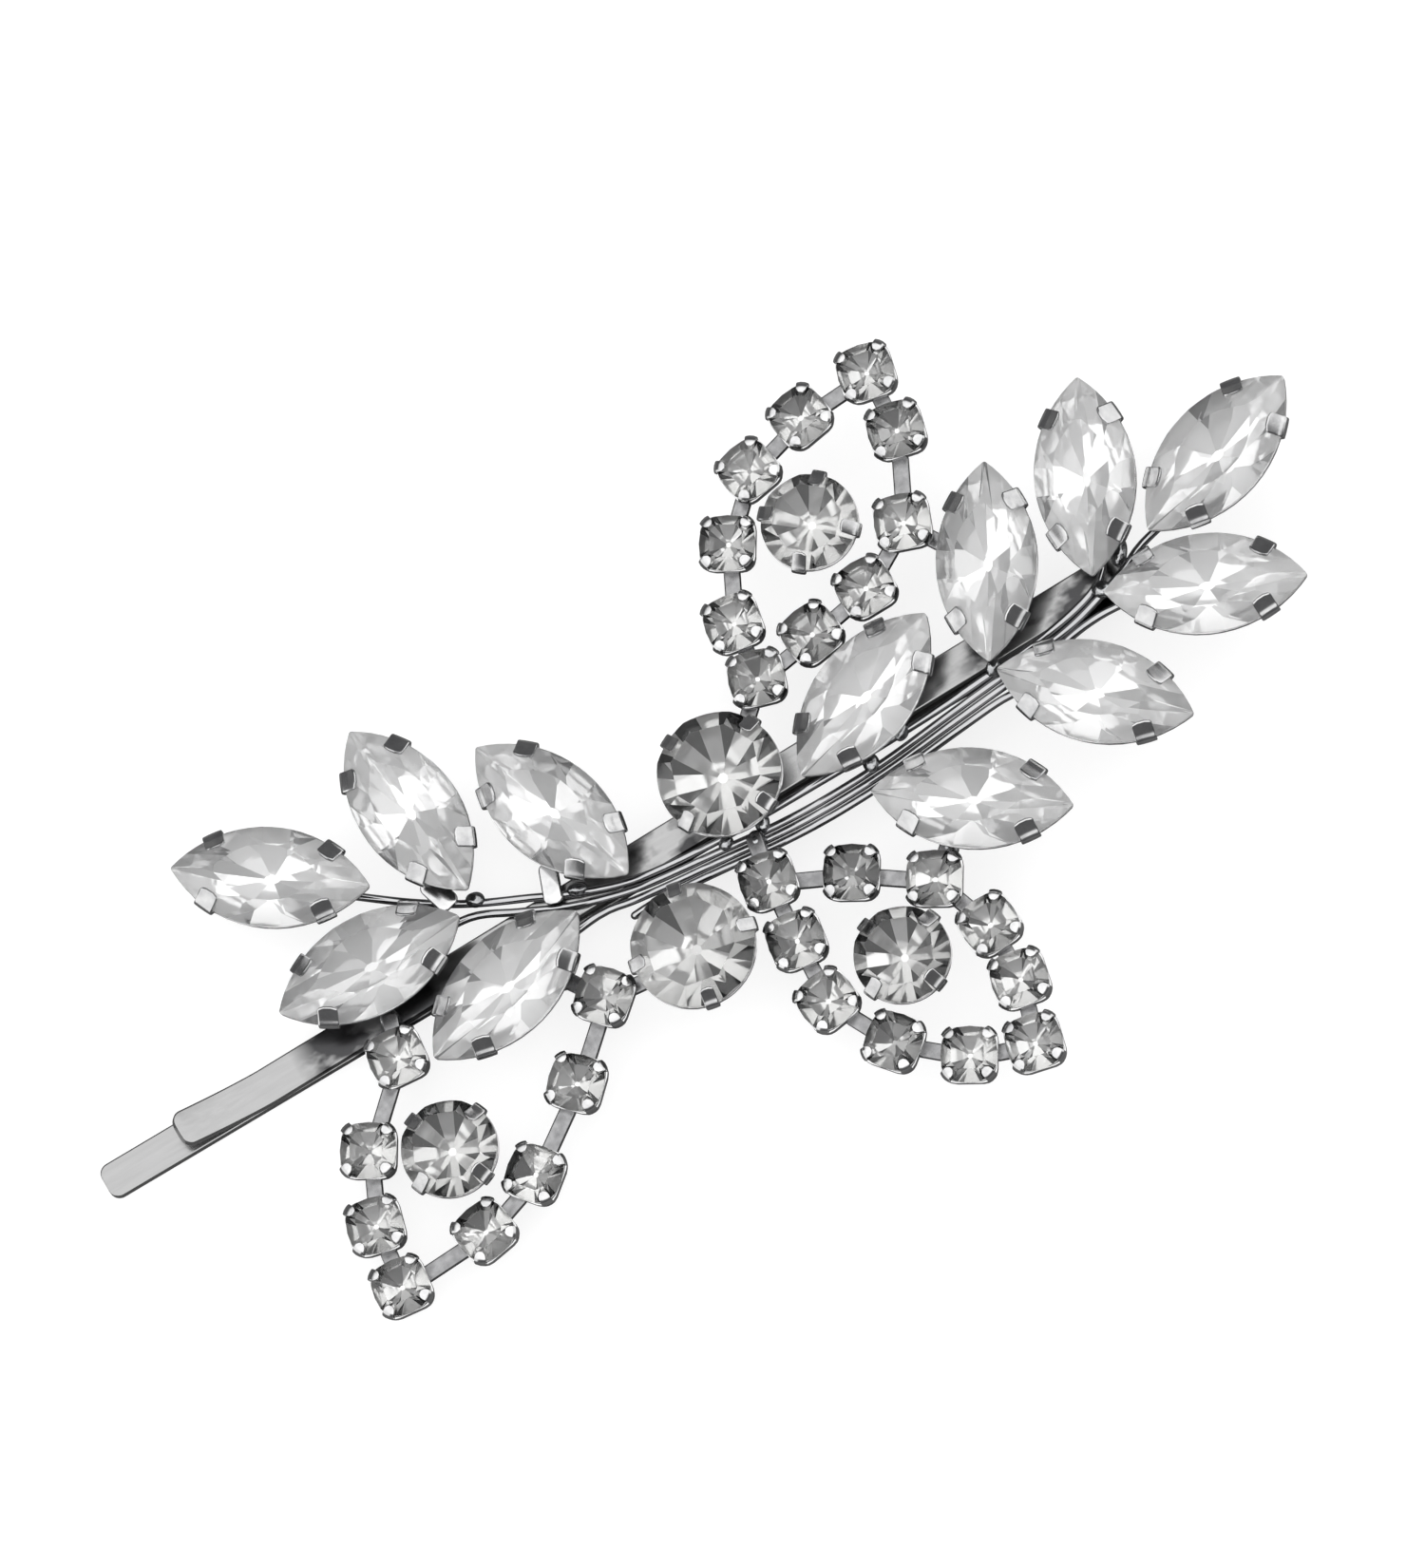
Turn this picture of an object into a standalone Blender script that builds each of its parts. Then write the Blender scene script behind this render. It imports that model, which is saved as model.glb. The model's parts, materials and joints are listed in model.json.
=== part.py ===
"""Rhinestone hair clip: a flat sprung hair grip that carries a spray of stones.

The grip is one strip of spring steel folded at a bend: a lower tine, the bend and a shorter upper tine.
Four stem wires are soldered on the upper tine.  They carry twelve navettes and five round stones, each in
its own claw setting, and three loops of cup chain lie round the three smaller round stones.

Frame: the origin is the middle of the lower tine's underside.  +X runs along the grip from the tips of the
tines to the bend, +Z up from the hair through the stones.  The upper tine and all on it swing about the bend.
"""

import math

import bmesh
import bpy
from mathutils import Vector

MM = 0.001

# The grip
TINE_WIDTH = 1.9 * MM
TINE_THICKNESS = 0.5 * MM
GRIP_LENGTH = 60.0 * MM
BEND_RADIUS = 1.3 * MM  # of the strip's middle line
REST_GAP = 0.05 * MM  # where the upper tine comes down on the lower one
CONTACT_X = -20.5 * MM  # where it does so
UPPER_TIP_X = -25.4 * MM
UPPER_TIP_RISE = 1.2 * MM  # the upper tine's tip turns up to let hair in
BEND_CLEAR_DEG = 12.0  # cut from the top of the bend, so that the upper tine can swing by 10 degrees
TIP_ROUNDING = 0.8 * MM
EDGE_ROUNDING = 0.12 * MM
JOINT_GAP = 0.03 * MM  # between pieces that are soldered or set against each other

# The spray
WIRE_DIAMETER = 0.42 * MM
WIRE_PITCH = 0.45 * MM
CHAIN_DROP = 0.35 * MM  # the cup chain's back lies this far below the claw settings' backs

# Claw settings
SHEET = 0.25 * MM  # the sheet that settings and claws are pressed from
STONE_GAP = 0.04 * MM
FLOOR_CLEAR = 0.1 * MM
CLAW_REACH = 0.75 * MM
CLAW_RISE = 0.1 * MM
CLAW_FLARE = 0.12 * MM  # how far a claw stands out from the wall before it bends in

# Stones: half sizes in plan, then the heights of crown, girdle and pavilion
NAVETTE = dict(half_length=5.1 * MM, half_width=2.55 * MM, crown=1.1 * MM, girdle=0.25 * MM, pavilion=1.5 * MM)
LARGE_ROUND = dict(radius=3.15 * MM, crown=1.1 * MM, girdle=0.25 * MM, pavilion=2.1 * MM)
SMALL_ROUND = dict(radius=2.45 * MM, crown=0.9 * MM, girdle=0.2 * MM, pavilion=1.7 * MM)
TABLE_SHARE = 0.55
CULET_SHARE = 0.08
BASE_SHARE = 0.62  # a setting's back against its rim

# Cup chain
CUP_SIDE = 2.85 * MM
CUP_CORNER = 0.75 * MM
CUP_WALL_HEIGHT = 1.6 * MM
CUP_STONE_RADIUS = 1.15 * MM
CUP_STONE_TABLE = 0.7 * MM
CUP_STONE_CROWN = 0.55 * MM
CUP_CLAW_HEIGHT = 0.4 * MM
LINK_WIDTH = 0.85 * MM
LINK_THICKNESS = 0.35 * MM
LINK_LEVEL = 0.45 * MM  # the underside of a link above a cup's back
LINK_BITE = 0.5 * MM  # how far a link runs into a cup

# Where each navette lies in the plane of the spray: x, y in mm, and the way its outer end points, in degrees
NAVETTES = (
    (36.7, 1.7, 18),
    (30.5, 4.2, 64),
    (32.9, -3.8, -27),
    (24.1, 3.1, 61),
    (25.4, -5.6, -45),
    (15.4, 0.5, 22),
    (17.4, -7.0, -36),
    (-14.9, 8.5, 143),
    (-7.2, 7.7, 96),
    (-1.0, 3.8, 109),
    (-12.8, 1.9, 177),
    (-7.4, -2.7, 195),
)
# Round stones: name, x, y, the turn of the claws, and the stone's sizes
ROUNDS = (
    ("large_round_1", 7.2, 0.7, 27, LARGE_ROUND),
    ("large_round_2", 1.7, -6.2, -12, LARGE_ROUND),
    ("loop_a_round", 17.5, 9.7, 48, SMALL_ROUND),
    ("loop_b_round", 10.4, -12.0, 21, SMALL_ROUND),
    ("loop_c_round", -14.0, -8.4, 22, SMALL_ROUND),
)
# Cup chain: x, y and turn of each cup in order along the chain
LOOP_A = (
    (23.8, 15.1, -13),
    (23.6, 11.7, -14),
    (21.5, 7.4, -21),
    (18.2, 5.5, 0),
    (14.7, 4.9, 7),
    (11.2, 4.4, -18),
    (11.6, 7.5, -10),
    (13.4, 11.2, -31),
    (16.2, 13.9, 9),
    (19.8, 14.9, 9),
)
LOOP_B = (
    (6.5, -4.9, -11),
    (6.2, -8.3, -9),
    (6.0, -11.8, 8),
    (7.8, -15.4, 39),
    (10.7, -18.0, -31),
    (13.8, -19.2, -14),
    (14.8, -16.0, -12),
    (14.9, -12.8, 3),
    (13.7, -9.3, -31),
    (10.3, -6.8, -31),
)
LOOP_C = (
    (-3.5, -5.6, 41),
    (-6.9, -8.7, 44),
    (-11.0, -11.6, 39),
    (-14.6, -12.8, 9),
    (-19.6, -13.0, -7),
    (-19.2, -9.6, -15),
    (-17.6, -6.1, -31),
    (-14.0, -2.7, -6),
)
# The loops: name, cups, whether the last cup is linked to the first, and the tails that are soldered on, each
# from the cup of that index to the point that it reaches
LOOPS = (
    ("cup_chain_a", LOOP_A, True, ((5, (9.1, 2.5)), (2, (22.9, 5.1)))),
    ("cup_chain_b", LOOP_B, True, ((0, (7.0, -2.2)), (8, (15.2, -7.9)))),
    ("cup_chain_c", LOOP_C, False, ((0, (-0.9, -5.9)), (0, (-4.8, -3.6)), (7, (-13.3, -0.3)))),
)
# Stem wires: the middle line of the bundle of four, right to left, and each wire's own ends
BUNDLE = ((21.2, -1.8), (16.0, -2.05), (8.7, -2.0), (5.2, -1.7), (1.7, -1.35))
WIRE_ENDS = (
    ("stem_wire_1", ((29.5, 1.6), (28.8, 0.2), (28.0, -0.5), (26.4, -0.9), (24.4, -1.25)),
     ((-2.6, 0.3), (-4.2, 1.1), (-7.0, 2.5), (-9.6, 4.2), (-13.2, 7.1))),
    ("stem_wire_2", ((34.0, 0.9), (31.2, 0.3), (29.6, -0.4), (26.5, -1.4), (24.4, -1.7)),
     ((-2.8, -0.3), (-5.1, 0.8), (-7.4, 1.9), (-10.4, 2.0))),
    ("stem_wire_3", ((30.8, -2.2), (28.4, -1.7), (26.5, -1.9), (24.4, -2.15)), ((-1.6, -1.3), (-5.4, -1.9))),
    ("stem_wire_4", ((23.7, -3.9), (22.6, -2.9)), ((0.4, -2.2), (-0.4, -2.5))),
)
# Flat tabs that join a setting to the stem: x, y, heading, length and width in mm, and the level of the tab's
# back: on top of the wires beside the setting, or beside the wires and under the setting
TAB_THICKNESS = 0.28 * MM
ABOVE, UNDER = 0.0, -JOINT_GAP - TAB_THICKNESS
TABS = (
    ("navette_tab_09", -8.1, 3.7, 104, 1.9, 1.2, ABOVE),
    ("navette_tab_10", -3.0, 1.1, 70, 2.1, 1.0, ABOVE),
    ("navette_tab_07", 14.6, -4.2, 126, 2.2, 1.4, UNDER),
    ("large_round_2_tab", 1.6, -4.1, 90, 2.6, 1.6, UNDER),
)

METAL = "rhodium_plated_brass"
STEEL = "nickel_plated_spring_steel"
CRYSTAL = "cut_crystal_glass"
FINISHES = {
    METAL: ((0.70, 0.70, 0.71, 1.0), 0.18, 1.0),
    STEEL: ((0.62, 0.62, 0.63, 1.0), 0.22, 1.0),
    CRYSTAL: ((0.90, 0.91, 0.92, 1.0), 0.03, 0.0),
}


def clear_scene():
    for obj in list(bpy.data.objects):
        bpy.data.objects.remove(obj)


def make_materials():
    for name, (colour, roughness, metallic) in FINISHES.items():
        material = bpy.data.materials.new(name)
        material.use_nodes = True
        shader = material.node_tree.nodes["Principled BSDF"]
        shader.inputs["Base Color"].default_value = colour
        shader.inputs["Roughness"].default_value = roughness
        shader.inputs["Metallic"].default_value = metallic


def collection(name, shown=True):
    made = bpy.data.collections.new(name)
    made.hide_render = not shown
    bpy.context.scene.collection.children.link(made)
    return made


def empty(name, place, turn=(0, 0, 0), parent=None):
    made = bpy.data.objects.new(name, None)
    made.location = place
    made.rotation_euler = turn
    made.parent = parent
    parts.objects.link(made)
    return made


def add_object(name, data, material, parent=None, place=(0, 0, 0), heading=0.0, into=None):
    made = bpy.data.objects.new(name, data)
    data.materials.append(bpy.data.materials[material])
    made.location = place
    made.rotation_euler = (0, 0, math.radians(heading))
    made.parent = parent
    (into or parts).objects.link(made)
    return made


def hidden(obj):
    """Marks a shape that is only joined into another."""
    obj.hide_render = True
    obj.display_type = "WIRE"
    return obj


def plate(name, size, parent, place, heading, into=None):
    """A plain flat block of the given length, width and thickness."""
    bm = bmesh.new()
    bmesh.ops.create_cube(bm, size=1.0)
    bmesh.ops.scale(bm, verts=bm.verts, vec=size)
    return add_object(name, mesh_from(bm, name), METAL, parent, place, heading, into)


def mesh_from(bm, name):
    bmesh.ops.recalc_face_normals(bm, faces=bm.faces)
    mesh = bpy.data.meshes.new(name)
    bm.to_mesh(mesh)
    bm.free()
    return mesh


# ---------------------------------------------------------------- the grip


def upper_tine_height(x):
    """Height of the upper tine's middle line: it comes down from the bend to the contact point."""
    top = TINE_THICKNESS / 2 + 2 * BEND_RADIUS
    bottom = 1.5 * TINE_THICKNESS + REST_GAP
    share = (x - CONTACT_X) / (BEND_X - CONTACT_X)
    return bottom + (top - bottom) * share


def tip_stations():
    """Distances from a tine's tip, close together where the tip is rounded."""
    return [TIP_ROUNDING * (1 - math.cos(math.radians(a))) for a in (0, 25, 50, 90)]


def tip_half_width(from_tip):
    """Half the strip's width: a rounded end whose corners are quarter circles."""
    reach = min(from_tip, TIP_ROUNDING) / TIP_ROUNDING
    corner = TIP_ROUNDING * (1 - math.sqrt(1 - (1 - reach) ** 2))
    return TINE_WIDTH / 2 - corner


def strip(name, path, parent=None, tip_first=True):
    """A flat strip along path, a list of (x, z): a grid given its thickness by Solidify and its edges by Bevel."""
    rows = len(path) - 1
    bm = bmesh.new()
    bmesh.ops.create_grid(bm, x_segments=rows, y_segments=1, size=1.0)
    travelled = [0.0]
    for (x0, z0), (x1, z1) in zip(path, path[1:]):
        travelled.append(travelled[-1] + math.hypot(x1 - x0, z1 - z0))
    for vertex in bm.verts:
        row = round((vertex.co.x + 1) / 2 * rows)
        half = tip_half_width(travelled[row]) if tip_first else TINE_WIDTH / 2
        x, z = path[row]
        vertex.co = (x, math.copysign(half, vertex.co.y), z)
    made = add_object(name, mesh_from(bm, name), STEEL, parent)
    solidify = made.modifiers.new("thickness", "SOLIDIFY")
    solidify.thickness = TINE_THICKNESS
    solidify.offset = 0
    solidify.use_even_offset = True
    bevel = made.modifiers.new("edges", "BEVEL")
    bevel.width = EDGE_ROUNDING
    bevel.segments = 1
    bevel.limit_method = "ANGLE"
    bevel.angle_limit = math.radians(50)
    return made


def make_grip(swing):
    lower_z = TINE_THICKNESS / 2
    lower_tip = -GRIP_LENGTH / 2
    lower = [(lower_tip + s, lower_z) for s in tip_stations()] + [(BEND_X - JOINT_GAP, lower_z)]
    strip("lower_tine", lower)

    steps = 10
    sweep = math.radians(180 - BEND_CLEAR_DEG)
    angles = [-math.pi / 2 + sweep * i / steps for i in range(steps + 1)]
    bend = [(BEND_X + BEND_RADIUS * math.cos(a), BEND_Z + BEND_RADIUS * math.sin(a)) for a in angles]
    strip("spring_bend", bend, tip_first=False)

    flare = [(UPPER_TIP_X + s, 1.0 - s / (CONTACT_X - UPPER_TIP_X)) for s in tip_stations()]
    flare += [(UPPER_TIP_X + (CONTACT_X - UPPER_TIP_X) * k, 1 - k) for k in (0.45, 0.7, 0.85)]
    low = upper_tine_height(CONTACT_X)
    upper = [(x, low + UPPER_TIP_RISE * rise**1.5) for x, rise in flare]
    upper += [(x, upper_tine_height(x)) for x in (CONTACT_X + 1 * MM, BEND_X)]
    upper = [(x - swing.location.x, z - swing.location.z) for x, z in upper]
    strip("upper_tine", upper, parent=swing)


# ---------------------------------------------------------------- stones and settings


def navette_outline(half_length, half_width):
    """A navette, two circular arcs that meet at blunt points, with a short side where each claw stands."""
    arc = (half_length**2 + half_width**2) / (2 * half_width)
    shares = (0.97, 0.88, 0.71, 0.53, 0.28, 0.0)
    side = [(half_length * s, math.sqrt(arc**2 - (half_length * s) ** 2) - arc + half_width) for s in shares]
    quarter = side + [(-x, y) for x, y in reversed(side[:-1])]
    return quarter + [(-x, -y) for x, y in quarter]


def round_outline(radius, turn=0.0, sides=16):
    step = 2 * math.pi / sides
    return [(radius * math.cos(turn + step * i), radius * math.sin(turn + step * i)) for i in range(sides)]


def ring(outline, z, across=(1.0, 1.0)):
    return [Vector((x * across[0], y * across[1], z)) for x, y in outline]


def widened(outline, by):
    """The factors in x and y that move an outline's ends and sides out by the same distance."""
    return [1 + by / max(p[axis] for p in outline) for axis in (0, 1)]


def loft(rings):
    """A closed body through rings of the same number of points, with a face across its first and last."""
    bm = bmesh.new()
    rows = [[bm.verts.new(p) for p in r] for r in rings]
    count = len(rows[0])
    for below, above in zip(rows, rows[1:]):
        for i in range(count):
            j = (i + 1) % count
            bm.faces.new((below[i], below[j], above[j], above[i]))
    bm.faces.new(list(reversed(rows[0])))
    bm.faces.new(rows[-1])
    bm.normal_update()
    return bm


def raise_claw(bm, face, lifts):
    """Pulls a claw out of a face of the rim.  Each lift is (up, inwards), towards the middle of the stone."""
    along = max(face.edges, key=lambda e: e.calc_length())
    direction = (along.verts[1].co - along.verts[0].co).normalized()
    inward = Vector((-direction.y, direction.x, 0))
    if inward.dot(face.calc_center_median()) > 0:
        inward.negate()
    for up, towards in lifts:
        face = bmesh.ops.extrude_discrete_faces(bm, faces=[face])["faces"][0]
        bmesh.ops.translate(bm, verts=face.verts, vec=Vector((0, 0, up)) + inward * towards)


def rim_faces(bm, height, spots):
    """The faces of the rim at height that lie nearest to each of the spots."""
    rim = [f for f in bm.faces if all(abs(v.co.z - height) < 1e-6 for v in f.verts)]
    return [min(rim, key=lambda f: (f.calc_center_median().xy - Vector(spot)).length) for spot in spots]


def cut_stone(name, outline, crown, girdle, pavilion, level, parent, place, heading):
    """Table, crown, girdle and pavilion of one stone, with the underside of its girdle at level."""
    rings = (
        ring(outline, level - pavilion, (CULET_SHARE, CULET_SHARE)),
        ring(outline, level),
        ring(outline, level + girdle),
        ring(outline, level + girdle + crown, (TABLE_SHARE, TABLE_SHARE)),
    )
    return add_object(name, mesh_from(loft(rings), name), CRYSTAL, parent, place, heading)


def claw_setting(name, outline, crown, girdle, level, claw_spots, parent, place, heading):
    """A pressed cup that follows the stone, with four claws bent over its crown."""
    inside = widened(outline, STONE_GAP)
    outside = widened(outline, STONE_GAP + SHEET)
    base = [s * BASE_SHARE for s in outside]
    floor = [s * (BASE_SHARE - 0.05) for s in inside]
    rings = (
        ring(outline, 0, base),
        ring(outline, level, outside),
        ring(outline, level, inside),
        ring(outline, SHEET, floor),
    )
    bm = loft(rings)
    for face in rim_faces(bm, level, claw_spots):
        distance = face.calc_center_median().xy.length
        slope = crown / ((1 - TABLE_SHARE) * distance)
        bend = (CLAW_REACH * max(slope, 0.75), CLAW_REACH + CLAW_FLARE)
        raise_claw(bm, face, ((girdle + CLAW_RISE, -CLAW_FLARE), bend))
    return add_object(name, mesh_from(bm, name), METAL, parent, place, heading)


def make_navettes(spray):
    sizes = NAVETTE
    outline = navette_outline(sizes["half_length"], sizes["half_width"])
    level = SHEET + FLOOR_CLEAR + sizes["pavilion"]
    claw_x = 0.62 * sizes["half_length"]
    claw_y = 0.7 * sizes["half_width"]
    spots = [(sx * claw_x, sy * claw_y) for sx in (1, -1) for sy in (1, -1)]
    for number, (x, y, heading) in enumerate(NAVETTES, 1):
        where = (x * MM, y * MM, 0)
        cut_stone(
            f"navette_stone_{number:02d}", outline, sizes["crown"], sizes["girdle"], sizes["pavilion"],
            level, spray, where, heading,
        )
        claw_setting(
            f"navette_setting_{number:02d}", outline, sizes["crown"], sizes["girdle"],
            level, spots, spray, where, heading,
        )


def make_rounds(spray):
    for name, x, y, turn, sizes in ROUNDS:
        drop = CHAIN_DROP if name.startswith("loop") else 0
        outline = round_outline(sizes["radius"], math.pi / 16)
        level = SHEET + FLOOR_CLEAR + sizes["pavilion"]
        spots = [(sizes["radius"] * math.cos(a), sizes["radius"] * math.sin(a)) for a in QUARTERS]
        where = (x * MM, y * MM, -drop)
        cut_stone(
            name + "_stone", outline, sizes["crown"], sizes["girdle"], sizes["pavilion"],
            level, spray, where, turn,
        )
        claw_setting(
            name + "_setting", outline, sizes["crown"], sizes["girdle"], level, spots, spray, where, turn,
        )


# ---------------------------------------------------------------- cup chain


def cup_outline():
    """A square with its corners cut off."""
    half, cut = CUP_SIDE / 2, CUP_SIDE / 2 - CUP_CORNER
    quarter = [(half, -cut), (half, cut)]
    outline = []
    for _ in range(4):
        outline += quarter
        quarter = [(-y, x) for x, y in quarter]
    return outline


def cup_with_stone():
    """One cup and the stone in it, whose crown stands above the rim between four corner claws."""
    outline = cup_outline()
    octagon = -math.pi / 8
    rings = (
        ring(outline, 0, (0.72, 0.72)),
        ring(outline, 0.25 * CUP_WALL_HEIGHT, (0.88, 0.88)),
        ring(outline, 0.65 * CUP_WALL_HEIGHT),
        ring(outline, CUP_WALL_HEIGHT),
        ring(round_outline(CUP_STONE_RADIUS, octagon, 8), CUP_WALL_HEIGHT),
        ring(round_outline(CUP_STONE_TABLE, octagon, 8), CUP_WALL_HEIGHT + CUP_STONE_CROWN),
    )
    bm = loft(rings)
    corner = CUP_SIDE / 2
    corners = [(sx * corner, sy * corner) for sx in (1, -1) for sy in (1, -1)]
    for face in rim_faces(bm, CUP_WALL_HEIGHT, corners):
        raise_claw(bm, face, ((CUP_CLAW_HEIGHT, 0),))
    return mesh_from(bm, "cup_with_stone")


def link(name, start, end, parent, into):
    """A flat link between two points of the spray's plane."""
    run = end - start
    middle = (start + end) / 2
    place = (middle.x, middle.y, LINK_LEVEL + LINK_THICKNESS / 2 - CHAIN_DROP)
    heading = math.degrees(math.atan2(run.y, run.x))
    hidden(plate(name, (run.length, LINK_WIDTH, LINK_THICKNESS), parent, place, heading, into))


def make_loop(name, cups, closed, tails, spray):
    """The first cup takes the others and the links into itself, so that a loop is one body."""
    places = [Vector((x, y)) * MM for x, y, _ in cups]
    helpers = collection(name + "_joined", shown=False)
    made = [
        add_object(f"{name}_cup_{i}", cup_with_stone(), METAL, spray, (*place, -CHAIN_DROP), turn, helpers)
        for i, (place, (_, _, turn)) in enumerate(zip(places, cups))
    ]
    chain = made[0]
    chain.name = name
    helpers.objects.unlink(chain)
    parts.objects.link(chain)
    for cup in made[1:]:
        hidden(cup)
    inset = CUP_SIDE / 2 - LINK_BITE
    runs = zip(places, places[1:] + places[:1]) if closed else zip(places, places[1:])
    for index, (start, end) in enumerate(runs):
        along = (end - start).normalized()
        link(f"{name}_link_{index}", start + along * inset, end - along * inset, spray, helpers)
    for index, (number, tip) in enumerate(tails):
        tip = Vector(tip) * MM
        along = (tip - places[number]).normalized()
        link(f"{name}_tail_{index}", places[number] + along * inset, tip, spray, helpers)
    union = chain.modifiers.new("join", "BOOLEAN")
    union.operation = "UNION"
    union.operand_type = "COLLECTION"
    union.collection = helpers
    union.solver = "EXACT"
    union.use_self = True


# ---------------------------------------------------------------- stem wires


def smooth(points, spacing):
    """Points about one spacing apart on a Catmull-Rom curve through the given ones."""
    given = [Vector((x, y, 0)) * MM for x, y in points]
    padded = [2 * given[0] - given[1]] + given + [2 * given[-1] - given[-2]]
    found = []
    for p0, p1, p2, p3 in zip(padded, padded[1:], padded[2:], padded[3:]):
        steps = max(1, round((p2 - p1).length / spacing))
        for i in range(steps):
            t = i / steps
            found.append(
                0.5 * (2 * p1 + (p2 - p0) * t + (2 * p0 - 5 * p1 + 4 * p2 - p3) * t**2
                       + (3 * p1 - p0 - 3 * p2 + p3) * t**3)
            )
    return found + [given[-1]]


def wire(name, points, parent, place):
    """A round wire through points: a curve with a bevel and closed ends."""
    curve = bpy.data.curves.new(name, "CURVE")
    curve.dimensions = "3D"
    curve.bevel_depth = WIRE_DIAMETER / 2
    curve.bevel_resolution = 2
    curve.use_fill_caps = True
    spline = curve.splines.new("POLY")
    spline.points.add(len(points) - 1)
    for point, co in zip(spline.points, points):
        point.co = (*co, 1)
    return add_object(name, curve, METAL, parent, place)


def make_stem(spray):
    level = -(JOINT_GAP + WIRE_DIAMETER / 2)
    for number, (name, right, left) in enumerate(WIRE_ENDS):
        aside = (1.5 - number) * WIRE_PITCH / MM
        bundle = tuple((x, y + aside) for x, y in BUNDLE)
        wire(name, smooth(right + bundle + left, 2.2 * MM), spray, (0, 0, level))
    for name, x, y, heading, length, width, back in TABS:
        where = (x * MM, y * MM, back + TAB_THICKNESS / 2)
        plate(name, (length * MM, width * MM, TAB_THICKNESS), spray, where, heading)


BEND_X = GRIP_LENGTH / 2 - BEND_RADIUS - TINE_THICKNESS / 2
BEND_Z = TINE_THICKNESS / 2 + BEND_RADIUS
QUARTERS = [math.radians(90 * i) for i in range(4)]

clear_scene()
make_materials()
parts = collection("rhinestone_hair_clip")
upper_swing = empty("upper_swing", (BEND_X, 0, BEND_Z))
make_grip(upper_swing)

slope = (upper_tine_height(BEND_X) - upper_tine_height(CONTACT_X)) / (BEND_X - CONTACT_X)
back_level = upper_tine_height(0) + TINE_THICKNESS / 2 + WIRE_DIAMETER + 2 * JOINT_GAP
spray_plane = empty("spray_plane", (-BEND_X, 0, back_level - BEND_Z), (0, -math.atan(slope), 0), upper_swing)
make_stem(spray_plane)
make_navettes(spray_plane)
make_rounds(spray_plane)
for loop in LOOPS:
    make_loop(*loop, spray_plane)
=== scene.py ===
"""Rhinestone hair clip: a sprung steel hair grip that carries a spray of foiled crystals in claw settings.

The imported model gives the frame.  Each stone, setting, wire, cup and strip is worked out here on a finer grid
and takes the place of its plain solid.  Lengths inside the functions are in millimetres.
"""

import json
import math

import bpy
import numpy as np
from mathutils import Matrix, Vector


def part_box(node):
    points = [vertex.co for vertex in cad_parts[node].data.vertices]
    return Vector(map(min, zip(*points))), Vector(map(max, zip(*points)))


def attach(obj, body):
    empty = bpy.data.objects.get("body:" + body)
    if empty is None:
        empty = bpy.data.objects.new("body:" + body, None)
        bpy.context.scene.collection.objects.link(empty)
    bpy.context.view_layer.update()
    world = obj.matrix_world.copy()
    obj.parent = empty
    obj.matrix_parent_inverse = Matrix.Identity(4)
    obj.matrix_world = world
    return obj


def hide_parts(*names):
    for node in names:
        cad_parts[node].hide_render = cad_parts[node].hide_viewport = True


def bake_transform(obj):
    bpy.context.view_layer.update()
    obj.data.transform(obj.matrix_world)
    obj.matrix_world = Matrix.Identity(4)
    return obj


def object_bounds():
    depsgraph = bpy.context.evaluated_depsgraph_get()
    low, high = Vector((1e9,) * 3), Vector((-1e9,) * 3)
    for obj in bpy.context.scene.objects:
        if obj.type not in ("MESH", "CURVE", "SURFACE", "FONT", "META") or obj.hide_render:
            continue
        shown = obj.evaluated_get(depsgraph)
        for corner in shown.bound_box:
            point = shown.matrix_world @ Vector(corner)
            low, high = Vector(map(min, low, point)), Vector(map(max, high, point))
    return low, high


bl_info = {
    "name": "Rhinestone Hair Clip",
    "version": (1, 0, 0),
    "blender": (4, 5, 0),
    "location": "View3D > Sidebar > Hair Clip",
    "description": "Builds a hair grip with a spray of crystal navettes, round stones and cup chain",
    "category": "Add Mesh",
}

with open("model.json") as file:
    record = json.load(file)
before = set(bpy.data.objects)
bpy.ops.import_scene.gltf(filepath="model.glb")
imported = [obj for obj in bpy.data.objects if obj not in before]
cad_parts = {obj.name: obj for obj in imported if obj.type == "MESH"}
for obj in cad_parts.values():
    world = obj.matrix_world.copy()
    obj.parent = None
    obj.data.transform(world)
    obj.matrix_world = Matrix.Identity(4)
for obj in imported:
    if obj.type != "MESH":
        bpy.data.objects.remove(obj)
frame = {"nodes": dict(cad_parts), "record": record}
CAD_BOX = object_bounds()

MM = 0.001
LOWER, UPPER = "lower_tine", "upper_tine"
STEEL_SLOT, METAL_SLOT, CRYSTAL_SLOT = "pin_steel", "bright_metal", "crystal"

# Stones: half sizes, then the heights of crown, girdle and pavilion
TIP_RADIUS = 0.15
NAVETTE = dict(half_length=5.1, half_width=2.55, crown=1.1, girdle=0.25, pavilion=1.5)
LARGE_ROUND = dict(radius=3.15, crown=1.1, girdle=0.25, pavilion=2.1)
SMALL_ROUND = dict(radius=2.45, crown=0.9, girdle=0.2, pavilion=1.7)
CUP_STONE = dict(half_side=1.39, corner=1.0, crown=0.5, girdle=0.12, pavilion=0.9)
ROUND_NODES = {
    "large_round_1": LARGE_ROUND,
    "large_round_2": LARGE_ROUND,
    "loop_a_round": SMALL_ROUND,
    "loop_b_round": SMALL_ROUND,
    "loop_c_round": SMALL_ROUND,
}

# Facets on the crown and girdle, then the main and the break facets below them
CROWN, MAIN, BREAK = 0, 1, 2
# Share of a stone's outline that its culet keeps
CULET = 0.08

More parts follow.
